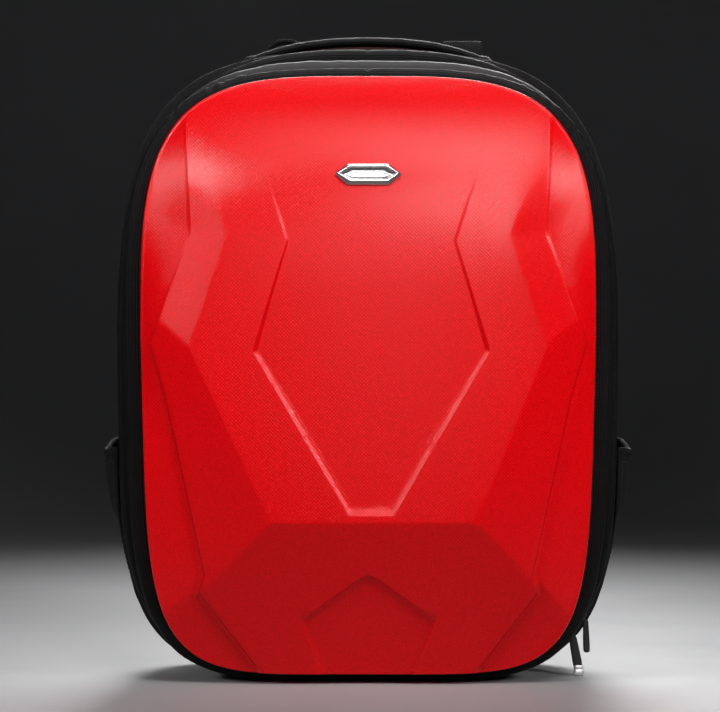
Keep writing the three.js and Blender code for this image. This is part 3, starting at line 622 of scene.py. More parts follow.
zip_tape = taped("zip_tape", (0.004, 0.004, 0.004), (0.014, 0.013, 0.014), 0.0012, 0.001, 0.6, 0.8, 0.00012)
black_moulding = finished(
    "moulded_black", ((0.008, 0.008, 0.0085), (0.019, 0.019, 0.02)), cloud=(260, 0.2, 1),
    gloss=(500, 0.3, 0.46), grain=[(uneven_tone, 1500, 0, 1)], deep=0.00004, dyed=False,
    Specular_IOR_Level=0.5,
)
put("zip_band", skin(zip_rings(even_turns(GUSSET, 500)), loop=True), zip_tape, "zip_tape", "zip_chain")
put("zip_teeth", zip_teeth(), black_moulding, "zip_tape")


# Zip sliders and pulls, at the lower right corner. Each slider is a die-cast, black-coated body with a
# bridge, and a moulded pull hangs from it. The lower pull ends in a small bright ferrule.
PULL_DEPTH = 33.95
SLIDERS = {  # angle on the zip, then the pull's width, top and foot
    "lower": (-55.2, 6.4, (139.6, PULL_DEPTH, 27.5), (143.6, PULL_DEPTH, 5.6)),
    "upper": (-52.2, 4.6, (148.6, PULL_DEPTH, 38.5), (149.4, PULL_DEPTH, 16)),
}
SLIDER = Sizes(along=9, wide=6.5, high=4.2, lift=2.7)
SLIDER_PROFILE = [  # place along the zip, width and height
    (-0.5, 0.6, 0.5), (-0.44, 0.85, 0.62), (-0.3, 1, 0.66), (-0.18, 0.9, 1), (0, 0.82, 1), (0.18, 0.86, 1),
    (0.3, 0.96, 0.66), (0.44, 0.8, 0.6), (0.5, 0.55, 0.45),
]
PULL_THICK = 1.6
PULL_PROFILE = [  # share of the length, of the width and of the thickness
    (0, 0.45, 1), (0.03, 0.7, 1), (0.1, 0.85, 1), (0.3, 0.88, 1), (0.55, 0.95, 1), (0.8, 1, 1),
    (0.93, 0.95, 1), (0.98, 0.8, 1), (1, 0.5, 1),
]
FERRULE = Sizes(top=(143.9, PULL_DEPTH, 7.4), foot=(143.9, PULL_DEPTH, 0.6), wide=6.9, thick=3.2)
FERRULE_PROFILE = [  # share of the length, and of the width and thickness
    (0, 0.7), (0.06, 0.92), (0.16, 1), (0.3, 1), (0.36, 0.86), (0.44, 0.86), (0.5, 1), (0.86, 1), (0.96, 0.9),
    (1, 0.7),
]
ACROSS_X, ACROSS_Y = np.eye(3)[:2]


def bar_rings(start, end, half_wide, half_thick, profile, count, square):
    """A straight bar that lies flat to the front, as rings whose size follows a profile along it."""
    start, along = np.array(start), np.subtract(end, start)
    across = np.cross(unit(along), ACROSS_Y)
    ring = squared_ring(half_wide, half_thick, count, square)
    rings = []
    for share, *scale in profile:
        flat = ring * scale
        rings.append(start + along * share + flat[:, :1] * across + flat[:, 1:] * ACROSS_Y)
    return np.array(rings)


def slider_rings(angle):
    """A waisted slider body with a raised bridge, in rings along the zip."""
    turn = np.array([math.radians(angle)])
    floor = ZIP.rise / 2 + SLIDER.lift
    base = np.concatenate(outline(GUSSET, turn, floor))
    out = np.concatenate(outline(GUSSET, turn, floor + 1)) - base
    along = np.array([-out[1], out[0]])
    rings = []
    for share, width, height in SLIDER_PROFILE:
        half_high = SLIDER.high / 2 * height
        ring = squared_ring(SLIDER.wide / 2 * width, half_high, 16)
        x, z = (base + along * share * SLIDER.along + out * (ring[:, 1:] + half_high)).T
        rings.append(np.stack([x, ZIP_MIDDLE + ring[:, 0], z], -1))
    return np.array(rings)


for name, (angle, wide, top, foot) in SLIDERS.items():
    put("slider_" + name, skin(slider_rings(angle)), black_moulding, "black_plastic", "zip_slider_" + name)
    pull = skin(bar_rings(top, foot, wide / 2, PULL_THICK / 2, PULL_PROFILE, 16, 3))
    put("pull_" + name, pull, black_moulding, "black_plastic", "zip_pull_" + name)
ferrule = bar_rings(FERRULE.top, FERRULE.foot, FERRULE.wide / 2, FERRULE.thick / 2, FERRULE_PROFILE, 20, 3)
put("pull_ferrule", skin(ferrule), plated_metal("dull_plate", 0.48, 0.95), "chrome", "pull_tip")


# Body. A tub of black woven cloth on a stiffened back panel, sewn between the middle and back rolls. Its
# walls swell a little and pucker along both seams, and its floor lies flat on the ground.
BODY = Outline(half=171, wide=215, top=427, foot=-3, top_power=3.5, foot_power=4.4, taper=0)
BODY_ROWS = [  # grow and depth of the outer cloth, from the front seam to the back panel
    (0, 55.2), (0.9, 57.5), (1.5, 61), (1.8, 68), (1.9, 77), (1.9, 86), (1.9, 95), (1.8, 104), (1.3, 110),
    (0, 114.4), (-2.2, 116.6), (-6, 118),
]
BODY_HEM = [(-13, 54.3), (-7, 54.3)]  # the front edge is turned in behind the middle roll
BODY_CLOTH = 2.2
BODY_SLACK = Sizes(loose=0.55, drift=0.25)
BODY_SEAM = Sizes(front=0.16, back=0.14, most=0.8, pucker=0.16)  # how far its puckers reach, and their size
BODY_INSIDE = 115  # depth of the back panel's inner face
BACK_PANEL_SHARES = (0.3, 0.55, 0.75, 0.9)


def level_ring(form, turns, grow, depth, share=1.0):
    """An outline at one depth, moved outwards and shrunk towards its middle."""
    x, z = outline(form, turns, grow)
    return x * share, np.full_like(x, depth), form.wide + (z - form.wide) * share


def body_rings(turns):
    """From the middle of the back panel round the outside to the front seam, then back inside."""
    (_, front), (edge, back) = BODY_ROWS[0], BODY_ROWS[-1]
    rows = [level_ring(BODY, turns, edge, back, share) for share in BACK_PANEL_SHARES]
    loose = ripple(turns, 31, 12, 42)
    tight = ripple(turns, 32, 10, 150)
    for grow, depth in (BODY_HEM + BODY_ROWS)[::-1]:
        share = (depth - front) / (back - front)
        seam = math.exp(-share / BODY_SEAM.front) + math.exp(-(1 - share) / BODY_SEAM.back)
        slack = BODY_SLACK.loose * loose + BODY_SLACK.drift * ripple(turns + share * 0.2, 33, 9, 70)
        uneven = math.sin(math.pi * min(max(share, 0), 1)) * slack
        uneven = uneven + BODY_SEAM.pucker * min(seam, BODY_SEAM.most) * tight
        rows.append(level_ring(BODY, turns, grow + uneven, depth))
    inner = [(grow, depth + BODY_CLOTH) for grow, depth in BODY_HEM]
    inner += [(min(grow, 0) - BODY_CLOTH, min(depth, BODY_INSIDE)) for grow, depth in BODY_ROWS[1:-1]]
    for grow, depth in inner:
        x, y, z = level_ring(BODY, turns, grow, depth)
        rows.append((x, y, np.maximum(z, BODY_CLOTH)))
    return np.array(rows).transpose(0, 2, 1)


def woven(name, dark, light, pitch, dull, deep):
    """Finish of a plain woven cloth, with a little sheen and slow changes of tone."""
    gloss = (80, dull - 0.08, dull + 0.08)
    look = {"Sheen_Weight": 0.01, "Sheen_Roughness": 0.5, "Specular_IOR_Level": 0.12}
    return finished(name, (dark, light), (38, 0.4, 1), gloss, [(woven_grain, pitch)], deep, **look)


body_cloth = woven("body_cloth", (0.004, 0.0036, 0.004), (0.02, 0.018, 0.0195), 0.0018, 0.85, 0.0004)
panel_middles = ((0, BODY_ROWS[-1][1], BODY.wide), (0, BODY_INSIDE, BODY.wide))
tub_mesh = skin(body_rings(even_turns(BODY, 480)), middles=panel_middles)
put("cloth_tub", tub_mesh, body_cloth, "body_cloth", "body")


# Side pockets. Each is one sheet of stretch cloth sewn to the body down both edges and along its foot, with
# an elastic binding that gathers its mouth, so it stands open a little.
POCKET = Sizes(front=60, back=110, foot=62, mouth=154, cloth=1.3, lip_fall=7, back_rise=6)
POCKET_SEAT = (-0.4, 2.2)  # how far it stands off the body at its foot and from half its height up
POCKET_BULGE = [(0, 0.2), (0.38, 1.0), (0.46, 2.2), (0.54, 5.6), (0.62, 7.6), (0.78, 8.9), (1, 9.4)]
POCKET_GATHER = Sizes(folds=5, fold=0.25, waves=13, climb=9, wave=0.5)
POCKET_SEAM = Sizes(foot=0.05, mouth=0.9, edge=0.05)
BINDING = Sizes(high=5.5, thick=1.6, proud=1)
SIDES = (("left", -1), ("right", 1))


def body_half(z):
    """Half the body's width at a height."""
    upper = z >= BODY.wide
    reach = np.where(upper, BODY.top - BODY.wide, BODY.wide - BODY.foot)
    power = np.where(upper, BODY.top_power, BODY.foot_power)
    return BODY.half * (1 - np.minimum(np.abs(z - BODY.wide) / reach, 1) ** power) ** (1 / power)


def pocket_points(side, share, across, out):
    """Points of the pocket sheet at one level, from its front edge to its back edge."""
    bulge = np.interp(share, *np.transpose(POCKET_BULGE))
    lip = POCKET.lip_fall * share * np.sin(math.pi * across) ** 2 * (1 - across)
    z = POCKET.foot + (POCKET.mouth + POCKET.back_rise * across - POCKET.foot) * share - lip
    folds = POCKET_GATHER.fold * share**2 * np.sin(across * 2 * math.pi * POCKET_GATHER.folds + side)
    waves = np.sin(across * POCKET_GATHER.waves + share * POCKET_GATHER.climb) * share
    gather = folds + POCKET_GATHER.wave * waves
    swell = (bulge + gather) * np.sin(math.pi * across) ** 0.7
    y = POCKET.front + (POCKET.back - POCKET.front) * across
    seat = np.interp(share, [0, 0.5], POCKET_SEAT)
    return np.stack([side * (body_half(z) + seat + swell + out), y, z], -1)


def pocket_rings(side):
    edge = np.linspace(0, 0.1, 6)[:-1]
    across = np.concatenate([edge, np.linspace(0.1, 0.9, 41), 1 - edge[::-1]])
    rings = []
    for share in np.linspace(0, 1, 31):
        outer = pocket_points(side, share, across, POCKET.cloth)
        rings.append(np.concatenate([outer, pocket_points(side, share, across, 0)[::-1]]))
    return np.array(rings)


def binding_rings(side):
    top = pocket_points(side, 1.0, np.linspace(0.005, 0.995, 60), POCKET.cloth / 2)
    x, z = squared_ring(BINDING.thick, BINDING.high / 2, 14, 3).T
    return top[:, None] + np.stack([x, 0 * x, z - BINDING.high / 2 + BINDING.proud], -1)


STITCH = Sizes(long=2.6, gap=1.1, thick=0.6)
STITCH_REACH = 30 * MM  # how far off the piece a stitch row may be drawn before it is laid on
thread = taped("thread", (0.012, 0.012, 0.012), (0.04, 0.038, 0.04), 0.0008, 0.0006, 1, 0.5, 0.00005)


def put_stitches(name, onto, rows, slot):
    """Short stitches along rows of points, each laid onto a piece in its row's inward direction."""
    cover = onto.data
    faces = BVHTree.FromPolygons([v.co for v in cover.vertices], [tuple(p.vertices) for p in cover.polygons])
    centres, along, out = [], [], []
    for path, inward in rows:
        path, inward = np.asarray(path, float), Vector(inward).normalized()
        run = np.concatenate([[0], np.cumsum(np.linalg.norm(np.diff(path, axis=0), axis=1))])
        at = np.arange(STITCH.long / 2, run[-1], STITCH.long + STITCH.gap)
        points = in_metres(np.stack([np.interp(at, run, path[:, k]) for k in range(3)], -1))
        hits = [faces.ray_cast(Vector(p) - inward * STITCH_REACH, inward, 2 * STITCH_REACH) for p in points]
        hits = [hit for hit in hits if hit[0] is not None]
        if len(hits) > 1:
            laid = (np.array([hit[0] for hit in hits]) - (0, RIM_Y, 0)) / MM
            centres += list(laid)
            along += list(np.gradient(laid, axis=0))
            out += [np.array(hit[1]) for hit in hits]
    stitches = joined_blocks(centres, along, out, (STITCH.long, STITCH.thick, STITCH.thick))
    put(name, stitches, thread, slot)


stretch_cloth = woven("stretch_cloth", (0.003, 0.0028, 0.003), (0.016, 0.0145, 0.016), 0.0014, 0.85, 0.0003)
binding_tape = taped(
    "binding_tape", (0.003, 0.003, 0.003), (0.013, 0.012, 0.013), 0.0016, 0.0014, 0.8, 0.8, 0.0002
)
for name, side in SIDES:
    sheet = skin(pocket_rings(side))
    pocket = put("pocket_" + name, sheet, stretch_cloth, "body_cloth", "side_pocket_" + name)
    put("pocket_binding_" + name, skin(binding_rings(side)), binding_tape, "body_cloth")
    level = np.linspace(0.06, 0.94, 60)
    seams = [pocket_points(side, row, level, 0) for row in (POCKET_SEAM.mouth, POCKET_SEAM.foot)]
    climb = np.linspace(POCKET_SEAM.foot, POCKET_SEAM.mouth, 40)
    for edge in (POCKET_SEAM.edge, 1 - POCKET_SEAM.edge):
        seams.append([pocket_points(side, share, np.array([edge]), 0)[0] for share in climb])
    put_stitches("pocket_stitches_" + name, pocket, [(seam, (-side, 0, 0)) for seam in seams], "body_cloth")


# Back pad. Foam in spacer-mesh cloth on the back panel, sewn through in channels so that air passes behind
# the rider's back. The cover is blown up by a cloth simulation and the channels are pressed in afterwards.
BACK_PAD = Outline(half=112, wide=215, top=393, foot=40, top_power=3.2, foot_power=3.4, taper=0.08)
PAD_ROWS = [(-6, 118.6), (-2.5, 119.4), (-1.5, 122), (-2, 125), (-5, 127.4), (-10, 128.6)]  # grow and depth
PAD_SHARES = (0.8, 0.6, 0.4, 0.2)
PAD_CHANNELS = Sizes(z=(112, 190, 268, 346), wide=7, deep=4.5, arch=10, half=110, face=122, over=5)
PAD_MIDDLE = 1.5  # the channel up the middle is this many times as wide
PAD_LIMITS = (118.5, 133)
PAD_SEAM = Sizes(half=98, depth=126, foot=62, top=372)
INTO_BACK = (0, -1, 0)
CLOTH = Sizes(pressure=4.0, mass=0.2, stretch=12, bending=1.5, steps=20)


def pad_rings(turns):
    """From the middle of the pad's flat back, round its edge, to the middle of its face."""
    back = [level_ring(BACK_PAD, turns, *PAD_ROWS[0], share) for share in PAD_SHARES[::-1]]
    edge = [level_ring(BACK_PAD, turns, *row) for row in PAD_ROWS]
    face = [level_ring(BACK_PAD, turns, *PAD_ROWS[-1], share) for share in PAD_SHARES]
    return np.array(back + edge + face).transpose(0, 2, 1)


def stuffed(mesh, voxel, cap):
    """The mesh as a filled cover: evened out, blown up by a cloth simulation, with its movement capped."""
    cover = bpy.data.objects.new("cover", mesh)
    bpy.context.scene.collection.objects.link(cover)

    def as_it_is():
        bpy.context.view_layer.update()
        return cover.evaluated_get(bpy.context.evaluated_depsgraph_get())

    even = cover.modifiers.new("even", "REMESH")
    even.mode = "VOXEL"
    even.voxel_size = voxel * MM
    evened = bpy.data.meshes.new_from_object(as_it_is())
    cover.modifiers.clear()
    cover.data = evened
    start = np.array([v.co for v in evened.vertices])
    cloth = cover.modifiers.new("cloth", "CLOTH").settings
    cloth.use_pressure = True
    cloth.uniform_pressure_force = CLOTH.pressure
    cloth.effector_weights.gravity = 0
    cloth.mass = CLOTH.mass
    cloth.tension_stiffness = cloth.compression_stiffness = CLOTH.stretch
    cloth.bending_stiffness = CLOTH.bending
    for step in range(1, CLOTH.steps + 1):
        bpy.context.scene.frame_set(step)
    graph = bpy.context.evaluated_depsgraph_get()
    moved = np.array([v.co for v in cover.evaluated_get(graph).data.vertices]) - start
    cover.modifiers.clear()
    bpy.context.scene.frame_set(1)
    far = np.linalg.norm(moved, axis=1, keepdims=True)
    blown = start + moved * np.minimum(1, cap * MM / np.maximum(far, 1e-9))
    evened.vertices.foreach_set("co", blown.astype(np.float32).ravel())
    eased = cover.modifiers.new("eased", "SMOOTH")
    eased.factor = 0.5
    eased.iterations = 5
    cover.modifiers.new("finer", "SUBSURF").levels = 1
    done = bpy.data.meshes.new_from_object(as_it_is())
    bpy.data.objects.remove(cover)
    done.materials.clear()
    return done


def channel_rise(x):
    return PAD_CHANNELS.arch * (1 - np.abs(x) / PAD_CHANNELS.half)


def press_channels(mesh):
    """Presses the sewn channels into the pad's face: arched ones across it and a wider one up its middle."""
    at = np.array([v.co for v in mesh.vertices])
    x, y, z = ((at - (0, RIM_Y, 0)) / MM).T
    wide = PAD_CHANNELS.wide
    groove = np.exp(-((x / (wide * PAD_MIDDLE)) ** 2))
    for height in PAD_CHANNELS.z:
        groove = np.maximum(groove, np.exp(-(((z - height - channel_rise(x)) / wide) ** 2)))
    outer = np.clip((y - PAD_CHANNELS.face) / PAD_CHANNELS.over, 0, 1)
    y = np.clip(y - PAD_CHANNELS.deep * groove * outer, *PAD_LIMITS)
    mesh.vertices.foreach_set("co", in_metres(np.stack([x, y, z], -1)).astype(np.float32).ravel())
    mesh.update()


pad_middles = tuple((0, PAD_ROWS[k][1], BACK_PAD.wide) for k in (0, -1))
pad_mesh = stuffed(skin(pad_rings(even_turns(BACK_PAD, 160)), middles=pad_middles), voxel=5, cap=5)
press_channels(pad_mesh)
spacer_mesh = woven("spacer_mesh", (0.004, 0.004, 0.0042), (0.036, 0.035, 0.037), 0.0036, 0.85, 0.0011)
back_cushion = put("back_cushion", pad_mesh, spacer_mesh, "body_cloth", "back_pad")
reach = np.linspace(-PAD_SEAM.half, PAD_SEAM.half, 60)
pad_seams = [np.stack([reach, 0 * reach, height + channel_rise(reach)], -1) for height in PAD_CHANNELS.z]
climb = np.linspace(PAD_SEAM.foot, PAD_SEAM.top, 60)
pad_seams.append(np.stack([0 * climb, 0 * climb, climb], -1))
pad_rows = [(seam + (0, PAD_SEAM.depth, 0), INTO_BACK) for seam in pad_seams]
put_stitches("cushion_stitches", back_cushion, pad_rows, "body_cloth")


# Yoke. A flat tab of dark red-brown cloth between the strap roots, folded at its edges and sewn to the top of
# the back panel, with its upper edge standing behind the handle.
YOKE = Sizes(depth=127.3, thick=2.4, half=47, foot=403, top=442, corner=9, middle=1.1, sag=0.35, waves=0.12)
YOKE_PROFILE = [  # share of the outline and of half the thickness, from face to face
    (0.4, -1), (0.75, -1), (0.96, -1), (0.985, -0.8), (1, 0), (0.985, 0.8), (0.96, 1), (0.75, 0.8),
    (0.4, 0.8),
]
YOKE_HEM = Sizes(inset=3.5, corner=6, foot=2)


def yoke_rings():
    """Rings through the tab's thickness: its outline, eased at both faces."""
    half, corner = YOKE.half, YOKE.corner
    climb = np.linspace(YOKE.foot, YOKE.top - corner, 14)
    flat = [(x, YOKE.foot) for x in np.linspace(-half, half, 40)]
    flat += [(half, z) for z in climb[1:]]
    for middle, first in ((half - corner, 0), (corner - half, 90)):
        for angle in np.radians(np.linspace(first, first + 90, 9)):
            flat.append((middle + corner * math.cos(angle), YOKE.top - corner + corner * math.sin(angle)))
    flat += [(-half, z) for z in climb[::-1][1:-1]]
    flat = np.array(flat)
    centre = flat.mean(0)
    rings = []
    for scale, shift in YOKE_PROFILE:
        x, z = (centre + (flat - centre) * scale).T
        sag = YOKE.sag * np.sin(x * YOKE.waves) * (1 - scale)
        rings.append(np.stack([x, YOKE.depth + YOKE.thick / 2 * shift + sag, z], -1))
    return np.array(rings), centre


yoke_points, (yoke_x, yoke_z) = yoke_rings()
yoke_middles = tuple((yoke_x, YOKE.depth + side * YOKE.middle, yoke_z) for side in (-1, 1))
maroon_cloth = woven("maroon_cloth", (0.018, 0.004, 0.005), (0.075, 0.019, 0.021), 0.0014, 0.8, 0.0002)
yoke = put("yoke_tab", skin(yoke_points, middles=yoke_middles), maroon_cloth, "maroon_cloth", "yoke")
hem_x, hem_top = YOKE.half - YOKE_HEM.inset, YOKE.top - YOKE_HEM.inset
hem = [(hem_x, YOKE.foot + YOKE_HEM.foot), (hem_x, hem_top - YOKE_HEM.corner)]
hem.append((hem_x - YOKE_HEM.corner, hem_top))
hem = [(-x, YOKE.depth, z) for x, z in hem] + [(x, YOKE.depth, z) for x, z in hem[::-1]]
put_stitches("yoke_stitches", yoke, [(hem, INTO_BACK), (hem, (0, 1, 0))], "maroon_cloth")


# Carrying handle. Webbing sewn down at both ends, with a foam grip wrapped in cloth over its middle, which
# ends in a turned hem on each side.
HANDLE = Sizes(depth=106, wide=17, grip=88, grip_thick=6.4, webbing=2.6, narrower=0.2, ease=3)
HANDLE_LINE = [(0, 441.4), (24, 440.7), (46, 438.2), (62, 434.6), (76, 430), (88, 425.6), (98, 420.6)]  # x, z
HANDLE_SQUARE = (2.4, 1.6)  # how square the grip's section is, and how much more the webbing's
HANDLE_HEM = Sizes(inset=4, within=3, thicker=1.6, wider=0.12)
HANDLE_SEAM = Sizes(inset=10, within=1.3, deep=0.8, joint=-46, joint_within=1.1, half=6.5)


def handle_rings():
    """The grip along its bow: rolled cloth that ends in a lump of turned hem, then the bare webbing."""
    xs, heights = np.transpose(HANDLE_LINE)
    reach = np.linspace(-xs[-1], xs[-1], 121)
    height = np.interp(np.abs(reach), xs, heights)
    for _ in range(4):
        height[1:-1] = (height[:-2] + 2 * height[1:-1] + height[2:]) / 4
    rings = []
    for x, z, tilt in zip(reach, height, np.arctan(np.gradient(height, reach))):
        inside = HANDLE.grip - abs(x)
        in_grip = smooth(inside / HANDLE.ease)
        hem = math.exp(-(((inside - HANDLE_HEM.inset) / HANDLE_HEM.within) ** 2))
        seam = math.exp(-(((inside - HANDLE_SEAM.inset) / HANDLE_SEAM.within) ** 2))
        seam += math.exp(-(((x - HANDLE_SEAM.joint) / HANDLE_SEAM.joint_within) ** 2))
        thick = HANDLE.webbing + (HANDLE.grip_thick - HANDLE.webbing) * in_grip
        thick += HANDLE_HEM.thicker * hem - HANDLE_SEAM.deep * seam
        wide = HANDLE.wide * (1 - HANDLE.narrower * in_grip + HANDLE_HEM.wider * hem)
        square = HANDLE_SQUARE[0] + HANDLE_SQUARE[1] * (1 - in_grip)
        y, up = squared_ring(wide / 2, thick / 2, 24, square).T
        rings.append(np.stack([x - up * math.sin(tilt), HANDLE.depth + y, z + up * math.cos(tilt)], -1))
    return np.array(rings)


handle = put("carry_handle", skin(handle_rings()), edging_cloth, "body_cloth", "handle")
grip_y = HANDLE.depth + np.linspace(-HANDLE_SEAM.half, HANDLE_SEAM.half, 8)
grip_x = HANDLE.grip - HANDLE_SEAM.inset
grip_rows = [([(x, y, HANDLE_LINE[1][1]) for y in grip_y], (0, 0, -1)) for x in (-grip_x, grip_x)]
put_stitches("handle_stitches", handle, grip_rows, "body_cloth")


# Shoulder straps. Curved foam pads in woven cloth, sewn to the back panel at the root and narrowing to a
# webbing end, with a bound edge and two rows of stitching. The covers are blown up by a cloth simulation.
STRAP_ROWS = [  # x, depth, height, width and thickness, on the right-hand side
    (66, 120.7, 406.5, 34, 7), (66, 131, 411, 36, 8), (65.5, 144, 406, 44, 10), (65, 154, 388, 54, 12),
    (64, 166, 350, 60, 12), (66, 175, 302, 60, 12), (74, 176, 252, 56, 12), (85, 168, 206, 48, 11),
    (94, 157, 172, 38, 9),
]
STRAP_SLACK = 1.2  # the cover starts this much smaller and swells to size
STRAP_SEAM = Sizes(inset=6.5, rows=160, skip=24)
STRAP_EDGE = Sizes(across=2.2, out=1.9, inset=0.9)


def curve(points, count):
    """A smooth curve through rows of numbers: point k lies at k equal steps along it."""
    rows = np.asarray(points, float)
    ends = np.vstack([2 * rows[0] - rows[1], rows, 2 * rows[-1] - rows[-2]])
    made = []
    for place in np.linspace(0, len(rows) - 1, count):
        k = min(int(place), len(rows) - 2)
        w = place - k
        a, b, c, d = ends[k : k + 4]
        ab, bc, cd = (max(np.linalg.norm((q - p)[:3]) ** 0.5, 1e-6) for p, q in ((a, b), (b, c), (c, d)))
        first = ((b - a) / ab - (c - a) / (ab + bc) + (c - b) / bc) * bc
        last = ((c - b) / bc - (d - b) / (bc + cd) + (d - c) / cd) * bc
        ease = 3 * w**2 - 2 * w**3
        made.append((1 - ease) * b + ease * c + (w**3 - 2 * w**2 + w) * first + (w**3 - w**2) * last)
    return np.array(made)


def sides_and_normals(path, across):
    """Unit vectors across a path and out of its face."""
    along = unit(np.gradient(path, axis=0))
    normal = unit(np.cross(along, across))
    return np.cross(normal, along), normal


def strap_rings(rows, across, count, section):
    """Rings along a strap whose rows hold a place, a width and a thickness."""
    run = curve(rows, count)
    rings = []
    for place, side, normal in zip(run, *sides_and_normals(run[:, :3], across)):
        flat = section(place[3] / 2, place[4] / 2)
        rings.append(place[:3] + flat[:, :1] * side + flat[:, 1:] * normal)
    return np.array(rings)


def padded_section(half_wide, half_thick):
    return squared_ring(half_wide, half_thick, 36, 3.2)


def mirrored(rows, side):
    return np.array(rows) * (side, 1, 1, 1, 1)


strap_cloth = woven("strap_cloth", (0.006, 0.0055, 0.006), (0.03, 0.028, 0.03), 0.002, 0.85, 0.0004)
for name, side in SIDES:
    rows = mirrored(STRAP_ROWS, side)
    slack = rows - np.array([0, 0, 0, 2 * STRAP_SLACK, 2 * STRAP_SLACK])
    cover = stuffed(skin(strap_rings(slack, ACROSS_X, 90, padded_section)), voxel=4, cap=4)
    strap = put("strap_" + name, cover, strap_cloth, "body_cloth", "shoulder_strap_" + name)
    for hand, label in ((-1, "inner"), (1, "outer")):

        def bound_edge(half_wide, _):
            ring = squared_ring(STRAP_EDGE.out, STRAP_EDGE.across, 12, 2.5)
            return ring + (hand * (half_wide - STRAP_EDGE.inset), 0)

        bound = skin(strap_rings(rows, ACROSS_X, 110, bound_edge))
        put(f"strap_{name}_{label}_binding", bound, binding_tape, "webbing")
    run = curve(rows, STRAP_SEAM.rows)[STRAP_SEAM.skip :]
    outwards = (run[:, 3:4] / 2 - STRAP_SEAM.inset) * sides_and_normals(run[:, :3], ACROSS_X)[0]
    seams = [(run[:, :3] + hand * outwards, INTO_BACK) for hand in (-1, 1)]
    put_stitches("strap_stitches_" + name, strap, seams, "webbing")


# Strap webbing and loops. Nylon webbing, woven with a herringbone rib: one length from each strap's end down
# to the foot of the back panel, and one loop above each strap root. All are sewn down with box stitches.
WEBBING = (26, 2)  # width and thickness
WEBBING_PATH = [
    (89.8, 162.2, 188), (94.6, 156, 166.5), (99, 149, 140), (108, 138, 106), (115, 127, 74), (118, 120.6, 55),
    (118.5, 119.7, 42),
]
RIGHT_LOOP = (28, 2.4)
RIGHT_LOOP_X = 68.5
RIGHT_LOOP_PATH = [  # depth and height
    (128.6, 415.2), (128.6, 432), (130.8, 442), (135.5, 444.6), (140, 440), (142, 430), (142.5, 413),
]
LEFT_LOOP = (20, 2.4)
LEFT_LOOP_DEPTH = 137
LEFT_LOOP_PATH = [  # x and height: this one stands edge-on
    (-50, 415.8), (-47.6, 428), (-46.2, 436.5), (-48.6, 442.2), (-55, 445), (-64, 444.6), (-71, 440),
    (-75.4, 431), (-75, 415.8),
]


def flat_section(half_wide, half_thick):
    return squared_ring(half_wide, half_thick, 28, 7)


def box_stitch(middle, across, up, inward=INTO_BACK):
    """Rows of a box stitch: a rectangle with both its diagonals."""
    middle, across, up = np.array(middle, float), np.array(across, float), np.array([0, 0, up])
    a, b, c, d = (middle + u * across + v * up for u, v in ((-1, -1), (1, -1), (1, 1), (-1, 1)))
    return [(np.array(line), inward) for line in ((a, b, c, d, a), (a, c), (b, d))]


webbing_rows = [(*place, *WEBBING) for place in WEBBING_PATH]
right_loop_rows = [(RIGHT_LOOP_X, depth, z, *RIGHT_LOOP) for depth, z in RIGHT_LOOP_PATH]
left_loop_rows = [(x, LEFT_LOOP_DEPTH, z, *LEFT_LOOP) for x, z in LEFT_LOOP_PATH]
foot_stitches = [box_stitch((side * 118.5, 121, 49), (9.5, 0, 0), 6) for _, side in SIDES]
WEBS = {  # rows, direction across, rings and stitches
    "strap_webbing_left": (mirrored(webbing_rows, -1), ACROSS_X, 70, foot_stitches[0]),
    "strap_webbing_right": (webbing_rows, ACROSS_X, 70, foot_stitches[1]),
    "strap_loop_right": (right_loop_rows, ACROSS_X, 60, box_stitch((RIGHT_LOOP_X, 144, 421), (10, 0, 0), 5)),
    "strap_loop_left": (left_loop_rows, ACROSS_Y, 60, box_stitch((-50, 137, 422), (0, 7, 0), 5, (-1, 0, 0))),
}
webbing_nylon = taped(
    "webbing_nylon", (0.004, 0.004, 0.004), (0.022, 0.021, 0.022), 0.0026, 0.0017, 1.6, 0.75, 0.00035
)
for name, (rows, across, count, stitches) in WEBS.items():
    ribbon = skin(strap_rings(rows, across, count, flat_section))
    web = put("nylon_" + name, ribbon, webbing_nylon, "webbing", name)
    put_stitches("box_stitch_" + name, web, stitches, "webbing")


# Ladder buckles. Moulded black frames with a gripping middle bar, lying on the outer face of the webbing
# where it leaves the padded strap.
BUCKLE = Sizes(wide=36, high=26, thick=4, bar=4.5, x=98, depth=157.3, z=150, lean=-15)
BUCKLE_BAR = Sizes(inset=1, thinner=0.8)
BAR_PROFILE = [(0, 0.7), (0.03, 0.92), (0.08, 1), (0.5, 1), (0.92, 1), (0.97, 0.92), (1, 0.7)]


def buckle_mesh(side):
    half_w, half_h, half_bar = BUCKLE.wide / 2, BUCKLE.high / 2, BUCKLE.bar / 2
    long = half_w - BUCKLE_BAR.inset
    half_thick = BUCKLE.thick / 2
    bars = []
    for z, thick in ((half_h - half_bar, 1), (0, BUCKLE_BAR.thinner), (half_bar - half_h, 1)):
        bars.append(((-long, 0, z), (long, 0, z), half_thick * thick))
    for x in (half_w - half_bar, half_bar - half_w):
        bars.append(((x, 0, -half_h), (x, 0, half_h), half_thick))
    lean = math.radians(BUCKLE.lean)
    whole = bmesh.new()
    for start, end, thick in bars:
        rings = bar_rings(start, end, half_bar, thick, BAR_PROFILE, 20, 3.4)
        x, y, z = np.moveaxis(rings, -1, 0)
        y = y - half_thick
        turned_y = BUCKLE.depth + y * math.cos(lean) - z * math.sin(lean)
        turned_z = BUCKLE.z + y * math.sin(lean) + z * math.cos(lean)
        bar = skin(np.stack([side * BUCKLE.x + x, turned_y, turned_z], -1))
        whole.from_mesh(bar)
        bpy.data.meshes.remove(bar)
    mesh = bpy.data.meshes.new("buckle")
    whole.to_mesh(mesh)
    whole.free()
    return mesh


for name, side in SIDES:
    put("ladder_buckle_" + name, buckle_mesh(side), black_moulding, "black_plastic", "strap_buckle_" + name)


